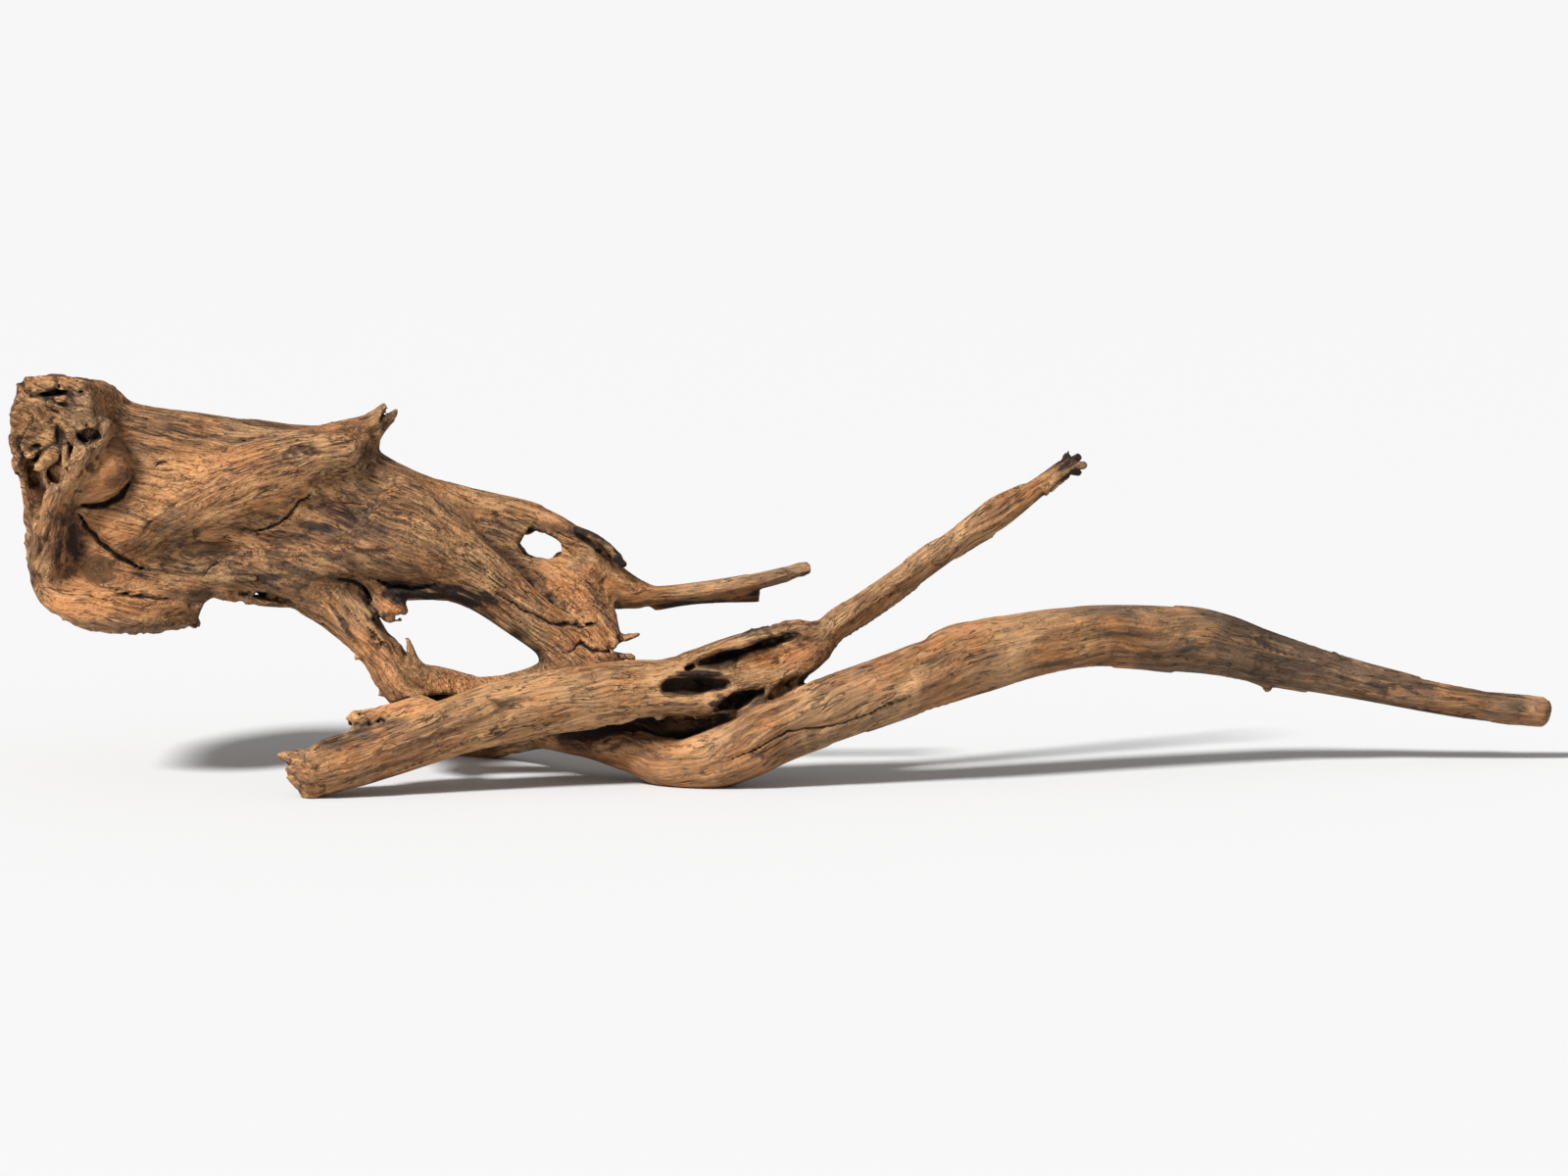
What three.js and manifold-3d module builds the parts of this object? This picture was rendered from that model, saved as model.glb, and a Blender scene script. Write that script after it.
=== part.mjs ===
// A piece of driftwood: a broken root end and its trunk, a flat web with a hole in it, a spike,
// a long branch with a twig, and the short limbs that it stands on.
// Millimetres, +X along the branch, +Y away from the front, +Z up. It rests on Z = 0.
import * as THREE from 'three';
import { mergeVertices } from 'three/addons/utils/BufferGeometryUtils.js';
import Module from 'manifold-3d';

// Facets of a limb: their aimed length round it and along it, and the fewest and most round it
const FACET_ROUND = 12;
const FACET_ALONG = 20;
const FEWEST_SIDES = 6;
const MOST_SIDES = 18;

// Shallow flutes twist round every limb: their depth as a share of its radius, how many go round
// in the broad and the narrow set, and the length along the limb that turns each set by a radian
const FLUTE_DEPTH = 0.05;
const BROAD_FLUTES = { share: 0.6, count: 2, pitch: 45 };
const NARROW_FLUTES = { share: 0.4, count: 5, pitch: -28 };
const FLUTE_PHASE_STEP = 1.7;

// The ground under the wood, cut away to leave the small flats that it rests on
const GROUND = { width: 1200, depth: 400, height: 60 };

// Facets of a hollow, round it and from end to end
const HOLLOW_SIDES = 14;
const HOLLOW_BANDS = 8;

// The limbs. A station is [x, y, z, half depth, half height] on the limb's middle line, and ends
// are the lengths of the rounded ends beyond the first and the last station. Depth is measured
// along Y, or along Z on a limb that runs front to back, and height square to it.
const LIMBS = {
  trunk: {
    ends: [4, 14],
    stations: [
      [-462, 16, 184, 42, 48], [-443, 14, 180, 50, 59], [-418, 14, 173, 52, 57], [-359, 16, 167, 46, 54],
      [-299, 19, 159, 41, 49], [-269, 18, 153, 37, 44], [-239, 16, 143, 32, 37], [-215, 14, 137, 26, 31],
    ],
  },
  burl: {
    frontToBack: true,
    ends: [10, 4],
    stations: [[-433, 6, 210, 29, 26], [-441, -22, 216, 29, 28], [-445, -44, 221, 28, 25]],
  },
  rim: {
    ends: [6, 5],
    stations: [
      [-417, -36, 214, 11, 8], [-429, -42, 198, 11, 8],
      [-439, -40, 179, 11, 7], [-447, -34, 159, 12, 8],
    ],
  },
  cheek: {
    ends: [8, 6],
    stations: [[-429, -26, 183, 22, 18], [-416, -30, 189, 22, 20], [-405, -28, 191, 17, 17]],
  },
  column: {
    ends: [10, 8],
    stations: [[-442, -20, 183, 22, 14], [-443, -26, 157, 22, 13], [-448, -24, 133, 22, 14]],
  },
  foot: {
    ends: [5, 5],
    stations: [
      [-453, -10, 119, 30, 10], [-434, -12, 109, 38, 14],
      [-404, -11, 105, 40, 15], [-370, 0, 102, 28, 10],
    ],
  },
  upperSwell: {
    ends: [14, 14],
    stations: [
      [-410, -16, 141, 18, 15], [-366, -20, 168, 16, 15],
      [-319, -16, 188, 16, 16], [-275, -6, 198, 16, 14],
    ],
  },
  lowerSwell: {
    ends: [14, 14],
    stations: [
      [-365, -6, 123, 22, 10], [-308, -14, 128, 16, 13],
      [-260, -18, 137, 15, 14], [-219, -16, 137, 14, 15],
    ],
  },
  stub: {
    ends: [6, 2],
    stations: [
      [-289, 12, 189, 24, 19], [-270, 10, 204, 14, 12],
      [-255, 8, 214, 8, 8], [-243, 6, 224, 6, 5],
    ],
  },
  ridge: {
    ends: [10, 10],
    stations: [
      [-246, 0, 151, 28, 34], [-216, -8, 137, 23, 26], [-189, -12, 122, 19, 18],
      [-163, -14, 102, 17, 14], [-140, -16, 83, 17, 13], [-122, -22, 65, 18, 15],
    ],
  },
  plate: {
    ends: [10, 8],
    stations: [
      [-232, 12, 153, 22, 25], [-197, 14, 142, 15, 25],
      [-161, 14, 129, 12, 25], [-127, 10, 115, 12, 24],
    ],
  },
  neck: {
    ends: [10, 10],
    stations: [[-134, 12, 119, 13, 20], [-124, 2, 94, 14, 17], [-120, -12, 67, 18, 16]],
  },
  rail: {
    ends: [10, 6],
    stations: [
      [-246, 14, 177, 14, 7], [-185, 18, 163, 10, 7], [-155, 18, 154, 9, 8],
      [-129, 16, 140, 9, 7], [-111, 12, 122, 9, 7], [-95, 10, 111, 8, 6],
    ],
  },
  topSplinter: {
    ends: [2, 2],
    stations: [[-130, 8, 145, 4, 3], [-121, 4, 141, 4, 2], [-111, 3, 134, 4, 3], [-104, 5, 126, 4, 2]],
  },
  neckSplinter: {
    ends: [2, 1],
    stations: [[-113, -2, 81, 7, 5], [-103, -4, 83, 5, 3], [-92, -6, 86, 2, 2]],
  },
  lowSplinter: {
    ends: [2, 1],
    stations: [[-115, -10, 75, 7, 5], [-100, -12, 76, 5, 3], [-93, -14, 75, 3, 2]],
  },
  spike: {
    ends: [10, 2],
    stations: [[-113, 10, 112, 10, 10], [-89, 10, 108, 8, 6], [-37, 6, 115, 7, 5], [12, 2, 127, 6, 4]],
  },
  spikeFlange: {
    ends: [3, 2],
    stations: [[-84, 12, 103, 4, 4], [-59, 12, 108, 4, 5], [-20, 10, 111, 4, 6]],
  },
  leg: {
    ends: [10, 8],
    stations: [
      [-288, 0, 121, 28, 25], [-272, -8, 102, 20, 15], [-252, -16, 81, 17, 12],
      [-238, -22, 61, 16, 12], [-225, -26, 49, 15, 10],
    ],
  },
  flap: {
    ends: [2, 2],
    stations: [[-252, -14, 121, 7, 7], [-244, -19, 110, 5, 10], [-238, -22, 99, 4, 6]],
  },
  thorn: {
    ends: [3, 1],
    stations: [[-228, -22, 63, 8, 12], [-230, -24, 77, 5, 5], [-234, -25, 87, 2, 2]],
  },
  web: {
    ends: [6, 10],
    stations: [
      [-240, -22, 55, 15, 7], [-219, -20, 55, 14, 12], [-189, -18, 49, 14, 8],
      [-163, -18, 51, 15, 9], [-137, -20, 64, 16, 12],
    ],
  },
  frontLimb: {
    ends: [3, 10],
    stations: [
      [-300, -89, 20, 10, 7], [-286, -87, 16, 14, 14], [-269, -83, 20, 16, 16],
      [-239, -76, 28, 17, 16], [-181, -61, 45, 19, 18], [-111, -49, 56, 20, 19],
      [-75, -45, 58, 19, 18], [-46, -42, 57, 17, 15], [-25, -39, 55, 13, 10],
    ],
  },
  toe: {
    ends: [3, 2],
    stations: [[-281, -87, 15, 9, 8], [-285, -87, 5, 8, 6], [-288, -87, -2, 6, 4]],
  },
  tongue: {
    ends: [2, 2],
    stations: [[-289, -87, 22, 7, 5], [-297, -88, 24, 5, 4], [-304, -89, 25, 3, 2]],
  },
  knuckle: {
    ends: [2, 8],
    stations: [[-264, -74, 45, 7, 4], [-248, -66, 45, 9, 5], [-223, -54, 49, 10, 7]],
  },
  branch: {
    ends: [8, 5],
    stations: [
      [-152, 8, 23, 12, 5], [-124, -8, 18, 14, 6], [-100, -26, 15, 14, 9], [-76, -40, 12, 15, 13],
      [-52, -48, 15, 17, 17], [-28, -50, 24, 19, 18], [-4, -49, 36, 20, 19], [55, -40, 57, 20, 19],
      [84, -34, 67, 21, 20], [114, -26, 76, 21, 21], [175, -6, 85, 20, 19], [237, 17, 81, 20, 20],
      [268, 27, 75, 18, 18], [299, 35, 65, 15, 15], [361, 45, 49, 12, 11], [423, 50, 36, 10, 10],
      [468, 52, 31, 9, 9],
    ],
  },
  slotBack: {
    ends: [8, 8],
    stations: [[-130, -10, 27, 8, 7], [-88, -24, 32, 8, 9], [-40, -32, 42, 9, 9]],
  },
  shell: {
    ends: [8, 8],
    stations: [
      [-70, -36, 65, 16, 10], [-46, -34, 67, 20, 15], [-19, -30, 73, 22, 16],
      [4, -26, 81, 16, 13], [16, -23, 85, 11, 8],
    ],
  },
  shellLip: {
    ends: [6, 3],
    stations: [[-37, -38, 52, 12, 8], [-13, -34, 60, 12, 9], [7, -28, 70, 9, 6], [17, -25, 77, 6, 4]],
  },
  twig: {
    ends: [8, 2],
    stations: [
      [9, -25, 81, 11, 9], [30, -19, 96, 9, 9], [55, -10, 112, 9, 9], [103, 8, 144, 8, 8],
      [126, 17, 158, 8, 9], [148, 26, 171, 6, 7], [174, 36, 189, 5, 6],
    ],
  },
  underNub: {
    ends: [2, 1],
    stations: [[289, 32, 56, 5, 5], [293, 32, 51, 3, 2], [295, 31, 48, 2, 2]],
  },
  topNub: {
    ends: [2, 1],
    stations: [[333, 38, 63, 5, 4], [337, 37, 68, 2, 2]],
  },
  heel: {
    frontToBack: true,
    ends: [8, 6],
    stations: [
      [-139, -6, 35, 15, 9], [-159, 30, 25, 14, 11], [-185, 62, 15, 14, 10],
      [-218, 84, 7, 13, 10], [-237, 94, 5, 11, 8],
    ],
  },
};

// The holes and hollows, each an ellipsoid: its centre, its radii along X, Y and Z, and its tilt
// in degrees, up to the right where positive
const HOLLOWS = {
  window: { centre: [-153, 16, 139], radii: [13, 80, 8], tilt: -8 },
  shellHollow: { centre: [-28, -52, 82], radii: [30, 22, 8], tilt: 17 },
  frontSlot: { centre: [-61, -64, 65], radii: [20, 16, 5], tilt: 2 },
  underSlot: { centre: [-80, -70, 37], radii: [42, 36, 6], tilt: 10 },
  legGap: { centre: [-243, -22, 90], radii: [11, 30, 3], tilt: -38 },
  backHollow: { centre: [-420, 70, 155], radii: [62, 38, 30], tilt: -4 },
};

const wasm = await Module();
wasm.setup();

// The solid of a closed geometry, with its shared vertices merged
function solidOf(geometry) {
  geometry.deleteAttribute('normal');
  geometry.deleteAttribute('uv');
  const merged = mergeVertices(geometry);
  return new wasm.Manifold(new wasm.Mesh({
    numProp: 3,
    vertProperties: new Float32Array(merged.attributes.position.array),
    triVerts: new Uint32Array(merged.index.array),
  }));
}

function curveThrough(points) {
  return new THREE.CatmullRomCurve3(points, false, 'catmullrom', 0.5);
}

// How much wider or narrower than its oval a limb is, at an angle round it and a length along it
function fluteFactor(angle, along, phase) {
  const broad = BROAD_FLUTES.share
    * Math.sin(BROAD_FLUTES.count * angle + along / BROAD_FLUTES.pitch + phase);
  const narrow = NARROW_FLUTES.share
    * Math.sin(NARROW_FLUTES.count * angle + along / NARROW_FLUTES.pitch + 2 * phase);
  return 1 + FLUTE_DEPTH * (broad + narrow);
}

// A limb: fluted oval rings along a smooth line through its stations, closed by two rounded ends.
// Each ring has a place on the line, a shift beyond the line's end and a share of the full width.
function limbSolid({ stations, ends, frontToBack }, phase) {
  const spine = curveThrough(stations.map(([x, y, z]) => new THREE.Vector3(x, y, z)));
  const widths = curveThrough(stations.map(([, , , depth, height]) => new THREE.Vector3(depth, height, 0)));
  const depthAxis = frontToBack ? new THREE.Vector3(0, 0, 1) : new THREE.Vector3(0, 1, 0);
  const length = spine.getLength();
  const widest = Math.max(...stations.flatMap(([, , , depth, height]) => [depth, height]));
  const wanted = Math.round(2 * Math.PI * widest / FACET_ROUND);
  const sides = THREE.MathUtils.clamp(wanted, FEWEST_SIDES, MOST_SIDES);
  const spans = Math.max(2, Math.round(length / FACET_ALONG));

  const rings = [];
  for (let i = 0; i <= spans; i++) {
    rings.push({ place: i / spans, shift: 0, share: 1 });
  }
  const half = Math.SQRT1_2;
  rings.unshift({ place: 0, shift: -ends[0], share: 0 }, { place: 0, shift: -ends[0] * half, share: half });
  rings.push({ place: 1, shift: ends[1] * half, share: half }, { place: 1, shift: ends[1], share: 0 });

  const positions = [];
  for (const { place, shift, share } of rings) {
    const t = spine.getUtoTmapping(place);
    const tangent = spine.getTangent(t);
    const deep = depthAxis.clone().addScaledVector(tangent, -depthAxis.dot(tangent)).normalize();
    const high = new THREE.Vector3().crossVectors(tangent, deep);
    const centre = spine.getPoint(t).addScaledVector(tangent, shift);
    const { x: halfDepth, y: halfHeight } = widths.getPoint(t);
    const corners = share === 0 ? 1 : sides;
    for (let j = 0; j < corners; j++) {
      const angle = 2 * Math.PI * j / sides;
      const reach = share * fluteFactor(angle, place * length, phase);
      const point = centre.clone()
        .addScaledVector(deep, reach * halfDepth * Math.cos(angle))
        .addScaledVector(high, reach * halfHeight * Math.sin(angle));
      positions.push(point.x, point.y, point.z);
    }
  }

  const ringStart = (i) => 1 + (i - 1) * sides;
  const lastTip = ringStart(rings.length - 1);
  const indices = [];
  for (let j = 0; j < sides; j++) {
    const next = (j + 1) % sides;
    indices.push(0, ringStart(1) + next, ringStart(1) + j);
    for (let i = 1; i < rings.length - 2; i++) {
      const near = ringStart(i);
      const far = ringStart(i + 1);
      indices.push(near + j, near + next, far + next, near + j, far + next, far + j);
    }
    const end = ringStart(rings.length - 2);
    indices.push(end + j, end + next, lastTip);
  }
  const geometry = new THREE.BufferGeometry();
  geometry.setAttribute('position', new THREE.Float32BufferAttribute(positions, 3));
  geometry.setIndex(indices);
  return solidOf(geometry);
}

function hollowSolid({ centre, radii, tilt }) {
  const geometry = new THREE.SphereGeometry(1, HOLLOW_SIDES, HOLLOW_BANDS)
    .scale(...radii)
    .rotateY(-THREE.MathUtils.degToRad(tilt))
    .translate(...centre);
  return solidOf(geometry);
}

function groundSolid() {
  const geometry = new THREE.BoxGeometry(GROUND.width, GROUND.depth, GROUND.height)
    .translate(0, 0, -GROUND.height / 2);
  return solidOf(geometry);
}

function geometryOf(solid) {
  const { vertProperties, triVerts } = solid.getMesh();
  const geometry = new THREE.BufferGeometry();
  geometry.setAttribute('position', new THREE.BufferAttribute(vertProperties, 3));
  geometry.setIndex(new THREE.BufferAttribute(triVerts, 1));
  geometry.computeVertexNormals();
  return geometry;
}

function driftwoodMesh() {
  const limbs = Object.values(LIMBS).map((limb, i) => limbSolid(limb, i * FLUTE_PHASE_STEP));
  const grown = limbs.reduce((joined, limb) => joined.add(limb));
  const cuts = [...Object.values(HOLLOWS).map(hollowSolid), groundSolid()];
  const worn = cuts.reduce((left, cut) => left.subtract(cut), grown);
  const wood = new THREE.MeshStandardMaterial({ color: 0xa5784f, roughness: 0.85, metalness: 0 });
  const mesh = new THREE.Mesh(geometryOf(worn), wood);
  mesh.name = 'driftwood';
  return mesh;
}

const group = new THREE.Group();
group.add(driftwoodMesh());

export default group;
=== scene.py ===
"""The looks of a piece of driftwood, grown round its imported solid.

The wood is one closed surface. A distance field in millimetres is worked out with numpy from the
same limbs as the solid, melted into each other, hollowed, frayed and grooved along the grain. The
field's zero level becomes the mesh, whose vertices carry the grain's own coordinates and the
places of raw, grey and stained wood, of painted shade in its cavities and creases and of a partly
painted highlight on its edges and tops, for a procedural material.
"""
import math

import bpy
import numpy as np
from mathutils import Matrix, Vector


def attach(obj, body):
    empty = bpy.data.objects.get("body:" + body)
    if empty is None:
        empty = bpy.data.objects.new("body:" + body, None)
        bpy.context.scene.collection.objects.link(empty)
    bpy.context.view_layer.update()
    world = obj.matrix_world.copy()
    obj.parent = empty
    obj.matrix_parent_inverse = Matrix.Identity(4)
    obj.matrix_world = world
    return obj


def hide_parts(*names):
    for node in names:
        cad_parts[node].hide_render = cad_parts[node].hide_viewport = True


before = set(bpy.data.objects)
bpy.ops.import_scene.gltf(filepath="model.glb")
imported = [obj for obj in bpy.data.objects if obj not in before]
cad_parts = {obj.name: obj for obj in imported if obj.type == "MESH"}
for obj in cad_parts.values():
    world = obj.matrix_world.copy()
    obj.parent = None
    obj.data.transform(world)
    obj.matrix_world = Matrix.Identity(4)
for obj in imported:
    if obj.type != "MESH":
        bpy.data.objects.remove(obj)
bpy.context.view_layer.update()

MM = 0.001
NODE = "driftwood"

# The mesh is found in levels: the size of a cell at each level, and how near the surface a corner
# of a cell has to be for the cell to be halved. Then it is thinned to a number of triangles.
LEVELS = ((5.6, 16.0), (2.8, 6.0), (1.4, 0.0))
MARGIN = 11.0
TRIANGLES = 190000

# Between two stations a spine is worked out in so many steps, and then cut into steps of one length. A
# limb is felt this far from its own box, and a hollow or a crumbled place this far from its own. Where
# nothing is felt, the field is far away.
SPAN_STEPS = 24
SPINE_STEP = 4.0
LIMB_REACH = 30.0
PLACE_REACH = 8
FAR_AWAY = 60.0
# So many points are measured against a spine at a time
POINTS_AT_ONCE = 60000
# Added to a length before it is divided by, and to a share before a power of it is
TINY = 1e-6
TINY_SHARE = 1e-4
# Large whole numbers that mix the three numbers of a lattice point into one
LATTICE_MIXERS = (374761393, 668265263, 2147483647)
LAST_MIXER = 1274126177

# Shallow flutes twist round every limb, as on the solid: their share of the depth, how many there are
# and the length over which they turn by one radian
FLUTE_DEPTH = 0.05
BROAD_FLUTES = (0.6, 2, 45.0)
NARROW_FLUTES = (0.4, 5, -28.0)
# From limb to limb the flutes' phase and the noise's seed go on by these steps
FLUTE_PHASE_STEP = 1.7
SEED_STEP = 7.31

# Noise drawn out along the grain, each kind with its wavelengths along and across the grain and a shift
# of its seed: the fibres of a frayed end, the patches of skin, the broad and narrow waves, the creases,
# and the patches where there are creases
FRAYED_FIBRES = (30.0, 3.2, 0)
SKIN_PATCHES = (34.0, 9.0, 6)
BROAD_WAVES = (75.0, 8.0, 0)
NARROW_WAVES = (42.0, 3.8, 3)
CREASES = (55.0, 6.0, 9)
CREASE_PATCHES = (30.0, 12.0, 12)
# The heights of that noise at which a patch of skin, or one with creases, starts and is full
SKIN_EDGE = (0.0, 0.07)
CREASE_PATCH_EDGE = (-0.1, 0.4)
# How deep the waves and creases are on a limb of at least this half height, and how narrow a crease is
BROAD_DEPTH = 0.9
NARROW_DEPTH = 0.5
CREASE_DEPTH = 1.5
CREASE_WIDTH = 0.13
FULL_HALF_HEIGHT = 16

# Noise that is the same in all directions, in layers of a height, a size and a shift: the edges of the
# hollows, the crumbs, the bends of the folds, the broken ends, the wander of the cracks, the edges of
# the patches of colour, and the wander of the grain
HOLLOW_NOISE = ((1, 8, 0), (0.5, 3.4, 0))
CRUMB_NOISE = ((1, 4.6, 0), (0.7, 2.4, 4.0))
FOLD_NOISE = ((1.25, 17, 5.0), (0.45, 8, 0))
BROKEN_NOISE = ((1.5, 7, 0), (0.9, 3, 0))
CRACK_NOISE = ((0.9, 6, 0), (0.5, 2.7, 0))
PATCH_NOISE = ((0.35, 11, 0), (0.2, 4.5, 0))
GRAIN_NOISE = [((1, 28, shift), (0.3, 9, shift)) for shift in (0.0, 9.0, 17.0)]

# The camera stands level with the wood, a little above it, as the photograph's does
CAMERA_TARGET = (-0.0045, 0.008, 0.1136)
CAMERA_DISTANCE = 3.0
CAMERA_ELEVATION = math.radians(7.0)
CAMERA_LENS = 112.5
SENSOR_WIDTH = 36.0

# The key light falls from the upper left in front, in a white surround, on a wide floor
KEY_DIRECTION = (0.55, 0.55, -0.85)
KEY_STRENGTH = 4.9
KEY_SOFTNESS = math.radians(12)
SURROUND = (1, 1, 1, 1)
SURROUND_STRENGTH = 0.38
FLOOR_HALF_SIDE = 400.0
FLOOR_COLOUR = (0.62, 0.62, 0.62, 1)

# Each limb: the grain that it follows, how softly it melts into the others, the lengths of its rounded
# ends, its stations [x, y, z, half depth, half height], and how far its ends are frayed back. Depth is
# measured along Y, or along Z on a limb that runs front to back. The power is 2 for an oval limb and
# more for a squarer one.
LIMBS = {}


def limb(name, grain, blend, ends, stations, fray=(0, 0), front_to_back=False, power=2):
    """Writes down one limb."""
    LIMBS[name] = dict(
        grain=grain, blend=blend, ends=ends, fray=fray, front_to_back=front_to_back, power=power,
        stations=np.array(stations, float))


limb("trunk", "trunk", 18, (4, 14), [
    [-462, 16, 184, 42, 48], [-443, 14, 180, 50, 59], [-418, 14, 173, 52, 57], [-359, 16, 167, 46, 54],
    [-299, 19, 159, 41, 49], [-269, 18, 153, 37, 44], [-239, 16, 143, 32, 37], [-215, 14, 137, 26, 31]])
limb("burl", "trunk", 10, (10, 4), [
    [-433, 6, 210, 29, 26], [-442, -22, 215, 29, 29],
    [-446, -44, 219, 29, 28]], front_to_back=True, power=4)
limb("rim", "root", 6, (6, 5), [
    [-413, -42, 217, 10, 7], [-426, -49, 199, 10, 6.5], [-437, -47, 180, 10, 6], [-447, -38, 158, 11, 8]])
limb("cheek", "cheek", 5, (8, 6), [
    [-429, -26, 183, 22, 18], [-416, -30, 189, 22, 20], [-405, -28, 191, 17, 17]])
limb("column", "root", 10, (10, 8), [
    [-442, -20, 183, 22, 14], [-443, -26, 157, 22, 13], [-448, -24, 133, 22, 14]])
limb("foot", "foot", 9, (5, 5), [
    [-453, -10, 119, 30, 10], [-434, -12, 109, 38, 14], [-404, -11, 105, 40, 15],
    [-370, 0, 102, 28, 10]], power=3)
limb("upper_swell", "swell", 20, (14, 14), [
    [-410, -16, 141, 18, 15], [-366, -20, 168, 16, 15], [-319, -16, 188, 16, 16],
    [-275, -6, 198, 16, 14]])
limb("lower_swell", "trunk", 16, (14, 14), [
    [-365, -6, 123, 22, 10], [-308, -14, 128, 16, 13], [-260, -18, 137, 15, 14],
    [-219, -16, 137, 14, 15]])
limb("stub", "stub", 14, (6, 2), [
    [-289, 12, 189, 24, 19], [-270, 10, 204, 14, 12], [-255, 8, 214, 8, 8],
    [-243, 6, 224, 6, 5]], fray=(0, 8))
limb("ridge", "ridge", 14, (10, 10), [
    [-246, 0, 151, 28, 34], [-216, -8, 137, 23, 26], [-189, -12, 122, 19, 18], [-163, -14, 102, 17, 14],
    [-140, -16, 83, 17, 13], [-122, -22, 65, 18, 15]])
limb("plate", "plate", 10, (10, 8), [
    [-232, 12, 153, 22, 25], [-197, 14, 142, 15, 25], [-161, 14, 129, 12, 25], [-127, 10, 115, 12, 24]])
limb("neck", "ridge", 10, (10, 10), [
    [-134, 12, 119, 13, 20], [-124, 2, 94, 14, 17], [-120, -12, 67, 18, 16]])
limb("rail", "plate", 8, (10, 6), [
    [-246, 14, 177, 14, 7], [-185, 18, 163, 10, 7], [-155, 18, 154, 9, 8], [-129, 16, 140, 9, 7],
    [-111, 12, 122, 9, 7], [-95, 10, 111, 8, 6]])
limb("top_splinter", "plate", 2, (2, 2), [
    [-132, 6, 150.5, 3, 1.0], [-119, 2, 145, 4, 1.3], [-109, 0, 136.5, 4, 1.5],
    [-102, 1, 127.5, 3.5, 1.5]], fray=(0, 4))
limb("neck_splinter", "ridge", 3, (2, 1), [
    [-113, -2, 81, 6, 4], [-103, -4, 83.5, 4, 2.2], [-93, -6, 87, 2, 1.4]])
limb("low_splinter", "ridge", 3, (2, 1), [
    [-115, -10, 75, 6, 4], [-103, -12, 75, 4, 2.2], [-96, -14, 73, 2, 1.4]])
limb("spike", "spike", 7, (10, 2), [
    [-113, 10, 112, 10, 10], [-89, 10, 108, 8, 6], [-37, 6, 115, 7, 5], [12, 2, 127, 6, 4]], fray=(0, 5))
limb("spike_flange", "spike", 3, (3, 2), [
    [-84, 12, 103, 4, 4], [-59, 12, 108, 4, 5], [-20, 10, 111, 4, 6]], fray=(4, 4))
limb("leg", "leg", 14, (10, 8), [
    [-288, 0, 121, 28, 25], [-272, -8, 102, 20, 15], [-252, -16, 81, 17, 12], [-238, -22, 61, 16, 12],
    [-225, -26, 49, 15, 10]])
limb("flap", "leg", 5, (2, 2), [
    [-252, -14, 121, 7, 7], [-244, -19, 110, 5, 10], [-238, -22, 99, 4, 6]], fray=(0, 7))
limb("thorn", "web", 4, (3, 1), [
    [-227, -22, 60, 7, 9], [-230, -24, 74, 3.4, 3.6], [-233, -25, 87, 1.5, 1.4]])
limb("web", "web", 10, (6, 10), [
    [-240, -22, 55, 15, 7], [-219, -20, 56, 14, 12], [-189, -18, 52, 14, 9], [-163, -18, 55, 15, 10],
    [-137, -20, 64, 16, 12]], fray=(6, 0))
limb("front_limb", "front", 6, (3, 10), [
    [-300, -89, 20, 10, 7], [-286, -87, 16, 14, 14], [-269, -83, 20, 16, 16], [-239, -76, 28, 17, 16],
    [-181, -61, 45, 19, 18], [-111, -49, 56, 20, 19], [-75, -45, 58, 19, 18], [-46, -42, 57, 17, 15],
    [-25, -39, 55, 13, 10]], fray=(14, 0))
limb("toe", "front", 4, (3, 2), [[-281, -87, 15, 9, 8], [-285, -87, 5, 8, 6], [-288, -87, -2, 6, 4]])
limb("tongue", "front", 3, (2, 2), [[-289, -87, 22, 7, 5], [-297, -88, 24, 5, 4], [-304, -89, 25, 3, 2]])
limb("knuckle", "front", 6, (2, 8), [
    [-264, -74, 45, 7, 4], [-248, -66, 45, 9, 5], [-223, -54, 49, 10, 7]], fray=(6, 0))
limb("branch", "branch", 8, (8, 4), [
    [-152, 8, 23, 12, 5], [-124, -8, 20, 14, 7], [-100, -26, 17, 14, 10], [-76, -40, 12, 15, 13],
    [-52, -48, 15, 17, 17], [-28, -50, 24, 19, 18], [-4, -49, 36, 20, 19], [55, -40, 57, 20, 19],
    [84, -34, 67, 21, 20], [114, -26, 76, 21, 21], [175, -6, 85, 20, 19], [237, 17, 81, 20, 20],
    [268, 27, 75, 18, 18], [299, 35, 65, 15, 15], [361, 45, 49, 12, 11], [423, 50, 36, 10, 10],
    [468, 52, 31, 9, 9]])
limb("slot_back", "branch", 10, (8, 8), [
    [-130, 0, 25, 12, 10], [-88, -14, 28, 12, 13], [-40, -24, 38, 12, 13]])
limb("shell", "shell", 8, (8, 8), [
    [-70, -36, 65, 16, 10], [-46, -34, 67, 20, 15], [-19, -30, 73, 22, 16], [4, -26, 81, 16, 13],
    [16, -23, 85, 11, 8]])
limb("shell_lip", "shell", 6, (6, 3), [
    [-38, -42, 54, 12, 8], [-13, -40, 62, 12, 8.5], [7, -33, 72, 9, 6], [17, -27, 78.5, 6, 4]])
limb("twig", "twig", 9, (8, 2), [
    [9, -25, 81, 11, 9], [30, -19, 96, 9, 9], [55, -10, 112, 9, 9], [103, 8, 144, 8, 8],
    [126, 17, 158, 8, 9], [148, 26, 171, 5.5, 6], [169, 34, 185.5, 4.5, 5]], fray=(0, 6))
limb("under_nub", "branch", 3, (2, 1), [[289, 32, 56, 5, 5], [293, 32, 51, 3, 2], [295, 31, 48, 2, 2]])
limb("top_nub", "branch", 3, (2, 1), [[333, 38, 63, 5, 4], [337, 37, 68, 2, 2]])
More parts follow.
